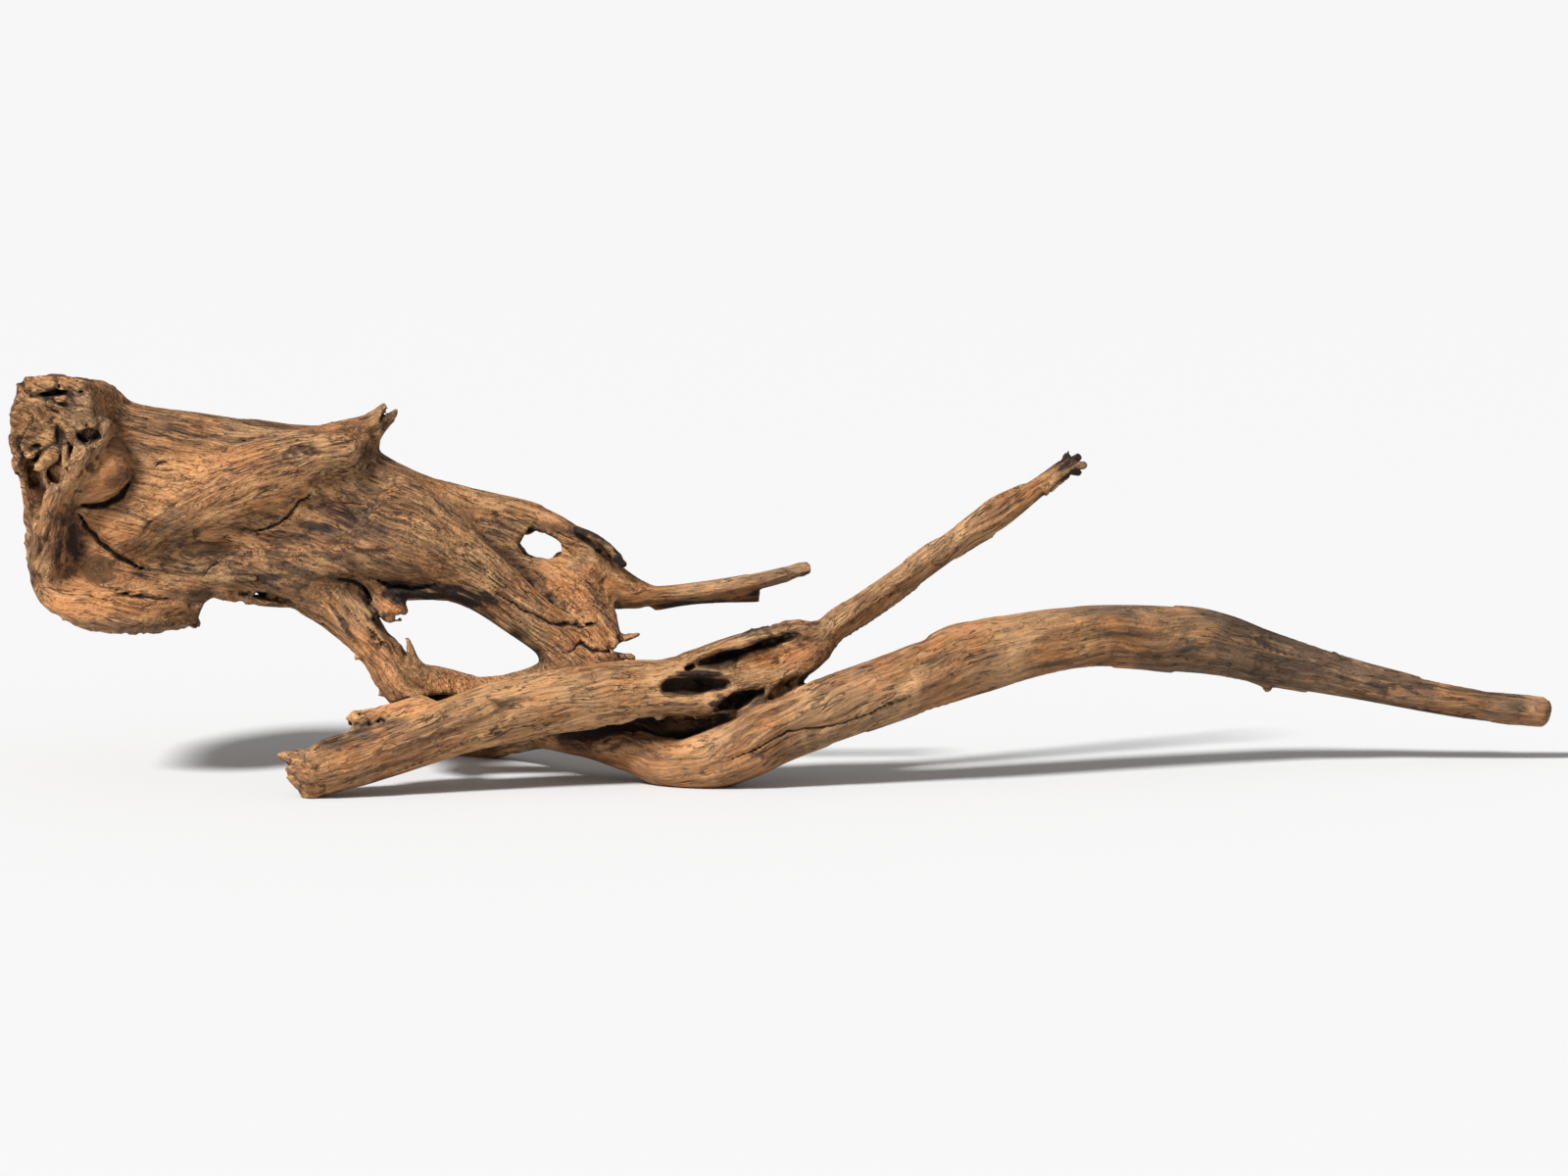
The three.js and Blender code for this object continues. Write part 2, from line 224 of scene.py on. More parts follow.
limb("heel", "heel", 10, (8, 6), [
    [-139, -6, 35, 15, 9], [-159, 30, 25, 14, 11], [-185, 62, 15, 14, 10], [-218, 84, 7, 13, 10],
    [-237, 94, 5, 11, 8]], front_to_back=True)
limb("ankle", "trunk", 12, (12, 12), [
    [-444, -16, 130, 18, 14], [-405, -15, 128, 18, 15], [-366, -8, 124, 18, 12]])
limb("flake", "leg", 3, (2, 1), [
    [-352, -8, 117, 10, 6], [-332, -12, 111, 9, 3], [-314, -12, 107.5, 8, 1.8],
    [-301, -10, 107, 5, 1.4]], fray=(0, 6))
limb("shell_rim", "shell", 4, (5, 5), [
    [-62, -36, 75, 8, 4], [-36, -37, 84, 9, 4.5], [-17, -34, 90, 10, 4], [2, -30, 94, 9, 3.4],
    [13, -26, 91, 8, 4]])
limb("inner_lobe", "branch", 7, (6, 6), [
    [-116, -34, 24, 6, 4], [-96, -42, 27, 7, 6], [-76, -44, 24, 6, 4]])
limb("lip", "ridge", 4, (4, 4), [[-246, -14, 117, 9, 4], [-226, -16, 115, 8, 3], [-205, -14, 116, 9, 5]])
limb("bark_lip", "shell", 1.5, (3, 3), [
    [-69, -56, 71, 4, 2], [-55, -57, 70, 4.5, 2.4], [-41, -55, 69, 4, 2]], fray=(4, 4))
limb("curled_flap", "shell", 1.5, (2, 2), [
    [-51, -57, 53, 3, 3], [-43, -60, 51.5, 3, 4], [-37, -58, 48.5, 2, 2.4]], fray=(0, 3))
limb("leg_chip", "leg", 2, (2, 1), [
    [-256, -18, 79, 6, 4], [-261, -20, 77, 4, 2.6], [-265, -21, 74, 2, 1.6]])
limb("ankle_chip", "leg", 2, (2, 1), [
    [-240, -22, 58, 6, 4], [-246, -24, 56, 4, 3], [-250, -25, 52, 2, 1.6]])
limb("upper_flake", "branch", 2, (2, 2), [
    [84, -28, 86.5, 7, 1.5], [97, -26, 92, 8, 2], [109, -24, 94, 6, 1.4]], fray=(5, 3))
limb("lower_flake", "branch", 2, (2, 2), [
    [50, -40, 72, 7, 2], [65, -36, 79, 8, 2], [77, -34, 83.5, 6, 1.6]], fray=(5, 3))
limb("twig_flake", "twig", 2, (2, 1), [
    [104, 8, 150, 5, 2], [114, 12, 157.5, 5, 2], [121, 14, 164, 3, 1.5]], fray=(3, 4))

# The twig's end is a tuft of bristles that spread from one root, each its own way up and to the front.
# They have three lengths in turn, and a radius at each share of their length.
TUFT_ROOT = np.array([168, 34, 185])
TUFT_AHEAD = np.array([0.74, 0.28, 0.52])
TUFT_UP = np.array([-0.5, 0, 0.75])
TUFT_FRONT = np.array([0.3, -0.9, 0])
TUFT_SPREAD = [
    (-1.3, 0.3), (-0.9, -0.5), (-0.4, 0.9), (-0.3, -0.9), (0.0, 0.0), (0.4, 0.8), (0.5, -0.7), (0.9, 0.1)]
BRISTLE_LENGTH = 11.5
SHORTEST_BRISTLE = 0.8
BRISTLE_LENGTH_STEP = 0.15
BRISTLE_RADII = ((0, 2.4), (0.55, 1.4), (1, 1.0))
for number, (up, front) in enumerate(TUFT_SPREAD):
    way = TUFT_AHEAD + up * TUFT_UP + front * TUFT_FRONT
    way *= BRISTLE_LENGTH * (SHORTEST_BRISTLE + BRISTLE_LENGTH_STEP * (number % 3)) / np.linalg.norm(way)
    limb(f"bristle_{number}", "twig", 1.5, (1, 1), [
        [*(TUFT_ROOT + share * way), radius, radius] for share, radius in BRISTLE_RADII])

# The grains: each one's channel, one of four so that two that meet are never in the same one, how fast
# it twists round its limb, in radians a millimetre, how thick its flaking skin is, and how rough it is,
# which sets both the depth of its grooves and the strength of its fibres
GRAINS = {
    "trunk": (0, -0.0025, 0.7, 1.2), "root": (1, 0.004, 0.6, 1.2), "swell": (2, 0.0, 0.6, 1.4),
    "ridge": (1, 0.004, 0.7, 1.4), "plate": (2, 0.0, 1.0, 1.1), "leg": (3, 0.004, 1.2, 1.0),
    "web": (0, 0.0, 0.7, 1.0), "front": (2, 0.002, 1.1, 0.8), "branch": (0, 0.003, 1.0, 0.55),
    "spike": (3, 0.0, 0.6, 0.6), "shell": (1, 0.0, 0.9, 1.0), "twig": (3, 0.005, 1.6, 0.9),
    "heel": (3, 0.0, 0.6, 0.8), "stub": (3, 0.006, 0.9, 1.2), "foot": (3, 0.0, 0.6, 1.0),
    "cheek": (3, 0.0, 0.3, 0.55),
}
CHANNELS = 4
# How softly the channels blend, how far the grain wanders along and across itself, and how far apart
# along the grain the limbs' patterns are
GRAIN_BLEND = 4.0
GRAIN_WANDER = (4, 3, 3)
GRAIN_STEP = 40

# Holes and hollows, each an oval or, with a power below 2, an almond: its centre, its radii along X,
# Y and Z, its tilt in degrees, up to the right, its power, how ragged its edge is, and how dark painted
# shade makes it inside
HOLLOWS = [
    ((-153, 16, 139), (13.6, 80, 8.4), -8, 2.4, 0.34, 0.3),
    ((-13, -63, 79), (39, 26, 13), 9, 1.8, 0.12, 0.05),
    ((-42, -57, 77.5), (24, 28, 6), 14, 1.4, 0.20, 1.0),
    ((-16, -49, 85), (24, 21, 4), 17, 1.5, 0.30, 0.8),
    ((-57, -64, 63), (25, 20, 6.6), 2, 1.8, 0.16, 1.0),
    ((-87, -74, 36), (58, 50, 9), 9, 1.5, 0.34, 1.0),
    ((-33, -60, 52), (18, 26, 6), 25, 1.5, 0.25, 1.0),
    ((-2, -55, 61), (15, 17, 5.5), 35, 1.5, 0.20, 0.9),
    ((-117, 0, 136), (13, 9, 2.2), -44, 1.5, 0.20, 0.9),
    ((-224, -40, 50), (27, 16, 3.2), 8, 1.5, 0.20, 0.9),
    ((-243, -22, 90), (13, 30, 4), -38, 1.5, 0.20, 0.8),
    ((-420, 70, 155), (62, 38, 30), -4, 2.0, 0.10, 0.3),
    ((-444, -50, 237), (20, 13, 3), 4, 1.5, 0.40, 1.0),
    ((-417, -54, 212), (7, 12, 5), -20, 1.5, 0.35, 1.0),
    ((-439, -56, 214), (3.5, 12, 9), 12, 1.5, 0.40, 1.0),
    ((-452, -52, 206), (8, 10, 2.6), 8, 1.5, 0.40, 1.0),
    ((-457, -44, 180), (9, 20, 20), 8, 1.6, 0.20, 0.6),
    ((-336, -56, 152), (64, 20, 9), 17, 2.0, 0.05, 0.0),
    ((-241, 6, 226.5), (14, 16, 2.2), 42, 1.5, 0.10, 0.9),
    ((-103, -9, 78.5), (9, 14, 3), 8, 1.5, 0.25, 1.0),
]
HOLLOW_EDGE = 1.5

# Cracks: their line in the front view, half width and depth, whether they are on the front, and the
# Y that parts the front of the limb from its back
CRACKS = [
    (((-430, 166), (-424, 155), (-416, 146), (-405, 137), (-390, 130)), 1.6, 4.5, True, 0),
    (((-326, 152), (-316, 154), (-308, 158), (-297, 170), (-290, 175)), 1.1, 2.6, True, 0),
    (((-280, 169), (-265, 169), (-255, 166)), 0.6, 1.4, True, 0),
    (((-408, 118), (-390, 114), (-375, 112)), 0.8, 1.8, True, 0),
    (((-384, 190), (-381, 194), (-375, 195)), 0.8, 1.6, True, 0),
    (((-357, 124), (-351, 131), (-341, 139)), 0.6, 1.4, True, 0),
    (((-43, 16), (-19, 27), (-2, 37), (25, 39), (43, 45), (72, 57)), 0.8, 2.0, True, -46),
    (((-179, 116), (-165, 106), (-147, 97), (-129, 93), (-117, 95)), 1.0, 2.4, True, -6),
    (((-136, 79), (-128, 84), (-120, 80), (-109, 78)), 1.2, 2.8, True, -6),
    (((-277, 124), (-265, 121), (-258, 115), (-254, 109)), 1.0, 2.4, True, 0),
    (((-428, 169), (-413, 170), (-403, 175), (-397, 184)), 1.9, 6.0, True, -10),
    (((-256, 124), (-244, 119), (-230, 117), (-214, 121)), 1.1, 3.5, True, -4),
    (((-400, 175), (-360, 182), (-320, 178), (-280, 172)), 0.9, 2.6, False, 20),
    (((60, 58), (110, 76), (160, 84), (200, 83)), 0.8, 2.0, False, -10),
]
# A crack is felt this far from its line and fully this far. Where there is none, the signed distance
# over the half width has a value well outside a crack.
CRACK_REACH = 5.0
CRACK_FULL_REACH = 3.0
NO_CRACK = 9.0
# Towards both its ends a crack narrows, over a share of its length, to a share of its width
CRACK_TAPER = 0.35
CRACK_NARROWEST = 0.35
# It fades in over these lengths from its ends and from the Y that parts the front from the back
CRACK_END_FADE = 2.0
CRACK_SIDE_FADE = 4


def hash_lattice(*lattice_point):
    """A fixed pseudo-random number from -1 to 1 for each lattice point, by integer mixing."""
    n = np.zeros(len(lattice_point[0]), np.uint32)
    for number, mixer in zip(lattice_point, LATTICE_MIXERS):
        n += number.astype(np.uint32) * np.uint32(mixer)
    n = (n ^ (n >> np.uint32(13))) * np.uint32(LAST_MIXER)
    n = n ^ (n >> np.uint32(16))
    return n.astype(np.float32) / np.float32(2 ** 31) - 1


def noise(points):
    """Value noise from -1 to 1: lattice values blended by smooth steps along the three axes."""
    cell = np.floor(points).astype(np.int64)
    f = (points - cell).astype(np.float32)
    f = f * f * (3 - 2 * f)
    total = np.zeros(len(points), np.float32)
    for corner in np.ndindex(2, 2, 2):
        weight = np.ones(len(points), np.float32)
        for axis in range(3):
            weight *= f[:, axis] if corner[axis] else 1 - f[:, axis]
        total += weight * hash_lattice(*(cell[:, axis] + corner[axis] for axis in range(3)))
    return total


def layered_noise(points, layers):
    """Noises on top of each other, each with its own height, size and shift."""
    return sum(height * noise(points / size + shift) for height, size, shift in layers)


def drawn_out_noise(u, v, w, kind, seed):
    """Noise in a limb's own coordinates, with one wavelength along the grain and one across it."""
    along, across, shift = kind
    seed = seed + shift
    return noise(np.stack([u / along + seed, v / across + seed, w / across], 1))


def smooth_min(a, b, k):
    """The lower of two fields, rounded by up to k/4 where they are within k of each other."""
    h = np.clip(1 - np.abs(a - b) / k, 0, None)
    return np.minimum(a, b) - h * h * k / 4


def smooth_step(low, high, x):
    """0 below low, 1 above high, and a cubic between."""
    t = np.clip((x - low) / (high - low), 0, 1)
    return t * t * (3 - 2 * t)


def spine_through(stations):
    """A uniform Catmull-Rom curve through the stations, cut into equal steps of arc length.
    Returns the stations along it and their lengths from its start."""
    ends = np.vstack([2 * stations[0] - stations[1], stations, 2 * stations[-1] - stations[-2]])
    t = np.linspace(0, 1, SPAN_STEPS + 1)[:-1, None]
    spans = []
    for a, b, c, d in zip(ends, ends[1:], ends[2:], ends[3:]):
        spans.append((2 * b + (c - a) * t + (2 * a - 5 * b + 4 * c - d) * t ** 2
                      + (3 * b - a - 3 * c + d) * t ** 3) / 2)
    curve = np.vstack(spans + [stations[-1:]])
    length = np.r_[0, np.cumsum(np.linalg.norm(np.diff(curve[:, :3], axis=0), axis=1))]
    u = np.linspace(0, length[-1], max(3, round(length[-1] / SPINE_STEP) + 1))
    return np.stack([np.interp(u, length, column) for column in curve.T], 1), u


class Limb:
    """One limb as a distance field round its spine."""

    def __init__(self, data, number):
        spine, self.u = spine_through(data["stations"])
        self.grain, self.blend = data["grain"], data["blend"]
        _, self.twist, self.skin, self.rough = GRAINS[self.grain]
        self.ends, self.fray, self.power = data["ends"], data["fray"], data["power"]
        self.phase = number * FLUTE_PHASE_STEP
        self.seed = number * SEED_STEP
        self.centre = spine[:, :3].astype(np.float32)
        self.depth, self.height = spine[:, 3], spine[:, 4]
        self.along = np.gradient(spine[:, :3], axis=0)
        self.along /= np.linalg.norm(self.along, axis=1, keepdims=True)
        axis = np.array((0, 0, 1.0) if data["front_to_back"] else (0, 1.0, 0))
        self.deep = axis - (self.along @ axis)[:, None] * self.along
        self.deep /= np.linalg.norm(self.deep, axis=1, keepdims=True)
        self.high = np.cross(self.along, self.deep)
        reach = np.maximum(self.depth, self.height)[:, None]
        self.low_corner = (self.centre - reach).min(0)
        self.high_corner = (self.centre + reach).max(0)

    def near(self, points):
        """Which points are close enough to feel this limb."""
        inside = (points > self.low_corner - LIMB_REACH) & (points < self.high_corner + LIMB_REACH)
        return np.nonzero(inside.all(1))[0]

    def coordinates(self, points):
        """Length u along the spine, offsets v and w across it, and the half depth and height there,
        all measured from the nearest step of the spine."""
        nearest = np.empty(len(points), np.int64)
        for start in range(0, len(points), POINTS_AT_ONCE):
            part = slice(start, start + POINTS_AT_ONCE)
            squared = (self.centre ** 2).sum(1) - 2 * points[part] @ self.centre.T
            nearest[part] = squared.argmin(1)
        offset = points - self.centre[nearest]
        ahead = (offset * self.along[nearest]).sum(1)
        u = self.u[nearest] + ahead
        depth = np.interp(u, self.u, self.depth)
        height = np.interp(u, self.u, self.height)
        v = (offset * self.deep[nearest]).sum(1)
        w = (offset * self.high[nearest]).sum(1)
        return u, v, w, depth, height

    def field(self, points, detailed):
        """Distance to a fluted oval tube with rounded ends: with q the length of
        (v / depth, w / height, overshoot / end), taken with the limb's power, the distance is
        (q - 1) over q's slope. The detailed field is also frayed at its ends and grooved along the
        grain, and what is left of its skin stands out."""
        u, v, w, depth, height = self.coordinates(points)
        angle = np.arctan2(w / height, v / depth)
        flutes = 0
        for (share, count, pitch), turn in ((BROAD_FLUTES, 1), (NARROW_FLUTES, 2)):
            flutes = flutes + share * np.sin(count * angle + u / pitch + turn * self.phase)
        depth = depth * (1 + FLUTE_DEPTH * flutes)
        height = height * (1 + FLUTE_DEPTH * flutes)
        before, after = -u, u - self.u[-1]
        if detailed and any(self.fray):
            ragged = 0.5 + 0.5 * drawn_out_noise(u, v, w, FRAYED_FIBRES, self.seed)
            before = before + self.fray[0] * ragged
            after = after + self.fray[1] * ragged
        overshoot = np.where(before > after, before, after).clip(0)
        end = np.where(before > after, *self.ends)
        parts = np.abs([v / depth, w / height, overshoot / end])
        p = self.power
        q = (parts ** p).sum(0) ** (1 / p) + TINY
        slope = np.linalg.norm(parts ** (p - 1) / [depth, height, end], axis=0) / q ** (p - 1)
        distance = (q - 1) / np.maximum(slope, 1 / np.maximum(depth, height))
        if detailed:
            distance = distance + self.grooves(u, v, w) - self.skin * self.skin_left(u, v, w)
        return distance

    def twisted(self, u, v, w):
        """The offsets across the limb turned with the grain's twist."""
        turn = self.twist * u
        return v * np.cos(turn) - w * np.sin(turn), v * np.sin(turn) + w * np.cos(turn)

    def skin_left(self, u, v, w):
        """Where the flaking skin is left, from 0 to 1, in patches drawn out along the grain."""
        v, w = self.twisted(u, v, w)
        return smooth_step(*SKIN_EDGE, drawn_out_noise(u, v, w, SKIN_PATCHES, self.seed))

    def grooves(self, u, v, w):
        """Broad and narrow waves drawn out along the grain, and in patches sharp creases, which are
        where a wave crosses its middle. All are shallower on thin limbs."""
        v, w = self.twisted(u, v, w)
        size = self.rough * min(1.0, self.height.max() / FULL_HALF_HEIGHT)
        broad, narrow, middle, where = (
            drawn_out_noise(u, v, w, kind, self.seed)
            for kind in (BROAD_WAVES, NARROW_WAVES, CREASES, CREASE_PATCHES))
        crease = np.exp(-(middle / CREASE_WIDTH) ** 2)
        patch = smooth_step(*CREASE_PATCH_EDGE, where)
        return size * (BROAD_DEPTH * broad + NARROW_DEPTH * narrow + CREASE_DEPTH * crease * patch)


WOOD = [Limb(data, number) for number, data in enumerate(LIMBS.values())]


def hollow_field(points, centre, radii, tilt, power, ragged):
    """Distance to a tilted oval or almond, its edge roughened by noise: with q the length of the
    offset over the radii, taken with the power, it is (q - 1) over q's slope."""
    offset = points - np.array(centre, np.float32)
    turn = math.radians(tilt)
    x = offset[:, 0] * math.cos(turn) + offset[:, 2] * math.sin(turn)
    z = offset[:, 2] * math.cos(turn) - offset[:, 0] * math.sin(turn)
    parts = np.abs(np.stack([x, offset[:, 1], z], 1) / radii) + TINY_SHARE
    q = (parts ** power).sum(1) ** (1 / power)
    slope = np.linalg.norm(parts ** (power - 1) / radii, axis=1) / q ** (power - 1) + TINY
    rough = ragged * layered_noise(points, HOLLOW_NOISE)
    return (q * (1 + rough) - 1) / slope


def near_place(points, centre, radii, tilted=False):
    """Which points are close enough to feel a hollow, which may be tilted, or a crumbled place."""
    reach = np.array(radii, float)
    if tilted:
        reach[[0, 2]] = reach[[0, 2]].max()
    return np.nonzero((np.abs(points - np.array(centre)) < reach + PLACE_REACH).all(1))[0]


# Places where the wood is torn and crumbly: the centre, the radii along X, Y and Z, and how rough
CRUMBLED = [
    ((-446, -46, 218), (32, 16, 32), 1.6), ((-379, -40, 189), (11, 12, 10), 1.1),
    ((-250, -68, 46), (26, 18, 10), 1.3), ((-430, -48, 190), (18, 16, 34), 1.6),
    ((-242, -20, 104), (14, 14, 16), 1.1), ((-205, -20, 62), (46, 20, 12), 0.7),
    ((-112, -8, 78), (16, 20, 14), 2.2), ((-8, -34, 94), (40, 18, 8), 1.9),
    ((-400, -14, 94), (60, 50, 9), 1.6), ((-246, 6, 220), (12, 14, 12), 1.2),
    ((-225, -16, 116), (34, 16, 10), 1.6), ((-330, -10, 112), (40, 20, 8), 1.4),
    ((4, 2, 126), (18, 10, 10), 1.0), ((-245, -24, 70), (24, 20, 30), 0.8),
    ((-150, 10, 104), (30, 20, 20), 0.9), ((-110, 4, 134), (18, 12, 14), 1.0),
]
# The shares of the radii at which a crumbled place starts and is full
CRUMBLED_EDGE = (1.1, 0.5)


def crumbled(points, centre, radii, rough):
    """How far the surface is pushed in and out at a crumbly place."""
    where = smooth_step(*CRUMBLED_EDGE, np.linalg.norm((points - np.array(centre)) / radii, axis=1))
    return rough * where * layered_noise(points, CRUMB_NOISE)


# The broken left end: its outline in the front view, X at each Z
LEFT_END_Z = (90, 102, 115, 130, 145, 151, 166, 190, 222, 240)
LEFT_END_X = (-436, -444, -455, -463, -465, -462, -465, -468, -468.5, -465)
# The wear of the left end: the heart of the wood, as Y and Z, how far in from the end it is worked out,
# and the Y from which it starts and is full. Then the rotted hollow round the heart: its depth, and the
# distances from the heart at which it starts and is full.
END_HEART = (4, 184)
END_REACH = 30
END_WORN_FROM = (-38, -22)
END_HOLLOW_DEPTH = 11
END_HOLLOW_FROM = (38, 8)
# The rings' spacing and height, and how unevenly they run
END_RING_SPACING = 6.5
END_RING_HEIGHT = 0.8
END_RING_NOISE = ((7, 20, 0),)
# The splits' turns from +Y, their depth, the distances from their line and from the heart at which they
# start and are full, and the height and size of their wander
END_SPLITS = (0.4, 1.3, 2.3, 4.2, 5.4)
END_SPLIT_DEPTH = 6
END_SPLIT_ASIDE = (2.2, 0.6)
END_SPLIT_OUT = (56, 34)
END_SPLIT_NOISE = (1.5, 9)
# The end grain in rays from the heart: how far in from the end and the Y from which it starts and is
# full, how fast it turns round the heart, and its share of the grain's wander
END_RAYS_IN = (-7, -3)
END_RAYS_FROM = (-44, -30)
END_RAYS_TURN = 45
END_RAYS_WANDER = 0.6
# The foot is broken off below, at this Z for each X, and more raggedly than the end
FOOT_X = (-450, -428, -410, -385, -365, -355)
FOOT_Z = (106, 96, 93, 91, 94, 80)
FOOT_RAGGED = 2.2
# The torn root end shows folds of wood: where its middle and its edges are, the way across the
# folds, how far apart they are, and how deep and sharp the creases between them are. They start and
# are full at two shares of the reach, and come and go round a mean depth.
FOLD_MIDDLE = (-450, -46, 214)
FOLD_REACH = (34, 26, 36)
FOLD_ACROSS = (0.75, -0.2, 0.62)
FOLD_SPACING = 12.0
FOLD_DEPTH = 13.0
FOLD_SHARPNESS = 1.2
FOLD_EDGE = (1.05, 0.75)
FOLD_MEAN = 0.75
FOLD_COMING = ((0.9, 13, 0),)


def fold_creases(points):
    """How deep in a crease of the torn root end a point is, from 0 to about 1: folds are bands,
    pushed about by noise, with round tops and sharp creases between. The creases come and go."""
    offset = points - np.array(FOLD_MIDDLE)
    band = offset @ np.array(FOLD_ACROSS) / FOLD_SPACING + layered_noise(points, FOLD_NOISE)
    crease = (1 - np.abs(np.sin(np.pi * band))) ** FOLD_SHARPNESS
    where = smooth_step(*FOLD_EDGE, np.linalg.norm(offset / FOLD_REACH, axis=1))
    return where * crease * (FOLD_MEAN + layered_noise(points, FOLD_COMING)).clip(0)


def end_heart(points):
    """How far out a point is from the heart of the broken left end, and which way, as a unit vector
    in Y and Z."""
    away = points[:, 1:] - END_HEART
    out = np.linalg.norm(away, axis=1) + TINY
    return out, away / out[:, None]


def beyond_left_end(points):
    """How far a point is beyond the left end. Behind the burl the end is worn back: its heart has
    rotted to a hollow, its rings stand in ridges, as a sine of the uneven distance from the heart, and
    splits run out from the heart."""
    beyond = np.interp(points[:, 2], LEFT_END_Z, LEFT_END_X) - points[:, 0]
    worn = np.nonzero(beyond > -END_REACH)[0]
    near = points[worn]
    out, way = end_heart(near)
    uneven = out + layered_noise(near, END_RING_NOISE)
    wear = END_HOLLOW_DEPTH * smooth_step(*END_HOLLOW_FROM, uneven)
    wear += END_RING_HEIGHT * np.sin(uneven * 2 * np.pi / END_RING_SPACING)
    for turn in END_SPLITS:
        along = way @ (np.cos(turn), np.sin(turn))
        wander = layered_noise(near, ((*END_SPLIT_NOISE, turn),))
        aside = out * np.abs(way @ (-np.sin(turn), np.cos(turn))) + wander
        split = (along > 0) * smooth_step(*END_SPLIT_ASIDE, np.abs(aside))
        wear += END_SPLIT_DEPTH * split * smooth_step(*END_SPLIT_OUT, out)
    beyond[worn] += wear * smooth_step(*END_WORN_FROM, near[:, 1])
    return beyond


def broken_off(points):
    """How far a point is beyond the broken left end or below the broken foot, both ragged."""
    ragged = layered_noise(points, BROKEN_NOISE)
    left = beyond_left_end(points) + ragged
    below = np.interp(points[:, 0], FOOT_X, FOOT_Z) - points[:, 2] + FOOT_RAGGED * ragged
    return np.maximum(left, np.where(points[:, 0] < FOOT_X[-1], below, -FAR_AWAY))


def crack_at(points, line, half_width, on_front, parting):
    """The signed distance to a crack's line over its half width, and how far the crack is there at
    all, from 0 to 1. The line wanders with noise, and the crack narrows towards both its ends."""
    line = np.array(line, float)
    lengths = np.r_[0, np.cumsum(np.linalg.norm(np.diff(line, axis=0), axis=1))]
    wander = layered_noise(points, CRACK_NOISE)
    nearest = np.full(len(points), FAR_AWAY)
    side = np.ones(len(points))
    place = np.zeros(len(points))
    for a, b, start in zip(line, line[1:], lengths):
        length = np.linalg.norm(b - a)
        along = (b - a) / length
        offset = points[:, (0, 2)] - a
        t = offset @ along
        across = offset[:, 1] * along[0] - offset[:, 0] * along[1] + wander
        inside = t.clip(0, length)
        distance = np.hypot(t - inside, across)
        closer = distance < nearest
        nearest = np.where(closer, distance, nearest)
        side = np.where(closer, np.where(across < 0, -1, 1), side)
        place = np.where(closer, start + inside, place)
    from_end = np.minimum(place, lengths[-1] - place)
    widening = smooth_step(0, CRACK_TAPER, from_end / lengths[-1])
    width = half_width * (CRACK_NARROWEST + (1 - CRACK_NARROWEST) * widening)
    facing = parting - points[:, 1] if on_front else points[:, 1] - parting
    there = smooth_step(0, CRACK_SIDE_FADE, facing) * smooth_step(CRACK_REACH, CRACK_FULL_REACH, nearest)
    return side * nearest / width, there * smooth_step(0, CRACK_END_FADE, from_end)


def near_crack(points, line):
    """Which points are close to a crack's line in the front view."""
    line = np.array(line, float)
    flat = points[:, (0, 2)]
    inside = (flat > line.min(0) - CRACK_REACH) & (flat < line.max(0) + CRACK_REACH)
    return np.nonzero(inside.all(1))[0]


def crack_values(points):
    """For every vertex, the crack that is most there: its signed distance and how far it is there."""
    signed = np.full(len(points), NO_CRACK)
    there = np.zeros(len(points))
    for line, half_width, _, on_front, parting in CRACKS:
        close = near_crack(points, line)
        own_signed, own_there = crack_at(points[close], line, half_width, on_front, parting)
        better = close[own_there > there[close]]
        signed[better] = own_signed[own_there > there[close]]
        there[close] = np.maximum(there[close], own_there)
    return signed, there


def wood_field(points, detailed=True):
    """The whole wood: the limbs melted together and cut off level at the ground. The detailed field is
    also folded and broken off at its left end, crumbled, cracked and hollowed."""
    total = np.full(len(points), FAR_AWAY, np.float32)
    for one in WOOD:
        close = one.near(points)
        if len(close):
            total[close] = smooth_min(total[close], one.field(points[close], detailed), one.blend)
    if detailed:
        end = np.nonzero(points[:, 0] < FOOT_X[-1])[0]
        folded = total[end] + FOLD_DEPTH * fold_creases(points[end])
        total[end] = np.maximum(folded, broken_off(points[end]))
        for centre, radii, rough in CRUMBLED:
            close = near_place(points, centre, radii)
            total[close] += crumbled(points[close], centre, radii, rough)
        for line, half_width, depth, on_front, parting in CRACKS:
            close = near_crack(points, line)
            if len(close):
                signed, there = crack_at(points[close], line, half_width, on_front, parting)
                total[close] += depth * there * np.exp(-signed ** 2)
        for centre, radii, tilt, power, ragged, _ in HOLLOWS:
            close = near_place(points, centre, radii, tilted=True)
            if len(close):
                cut = -hollow_field(points[close], centre, radii, tilt, power, ragged)
                total[close] = -smooth_min(-total[close], -cut, HOLLOW_EDGE)
    return np.maximum(total, -points[:, 2])


def near_cells(values, reach):
    """The cells of a grid with a corner within reach of the surface."""
    close = np.abs(values) < reach
    cells = np.zeros(np.array(values.shape) - 1, bool)
    for i, j, k in np.ndindex(2, 2, 2):
        cells |= close[i:i + cells.shape[0], j:j + cells.shape[1], k:k + cells.shape[2]]
    return cells


def doubled(array):
    """An array with every entry repeated twice along each axis."""
    return array.repeat(2, 0).repeat(2, 1).repeat(2, 2)


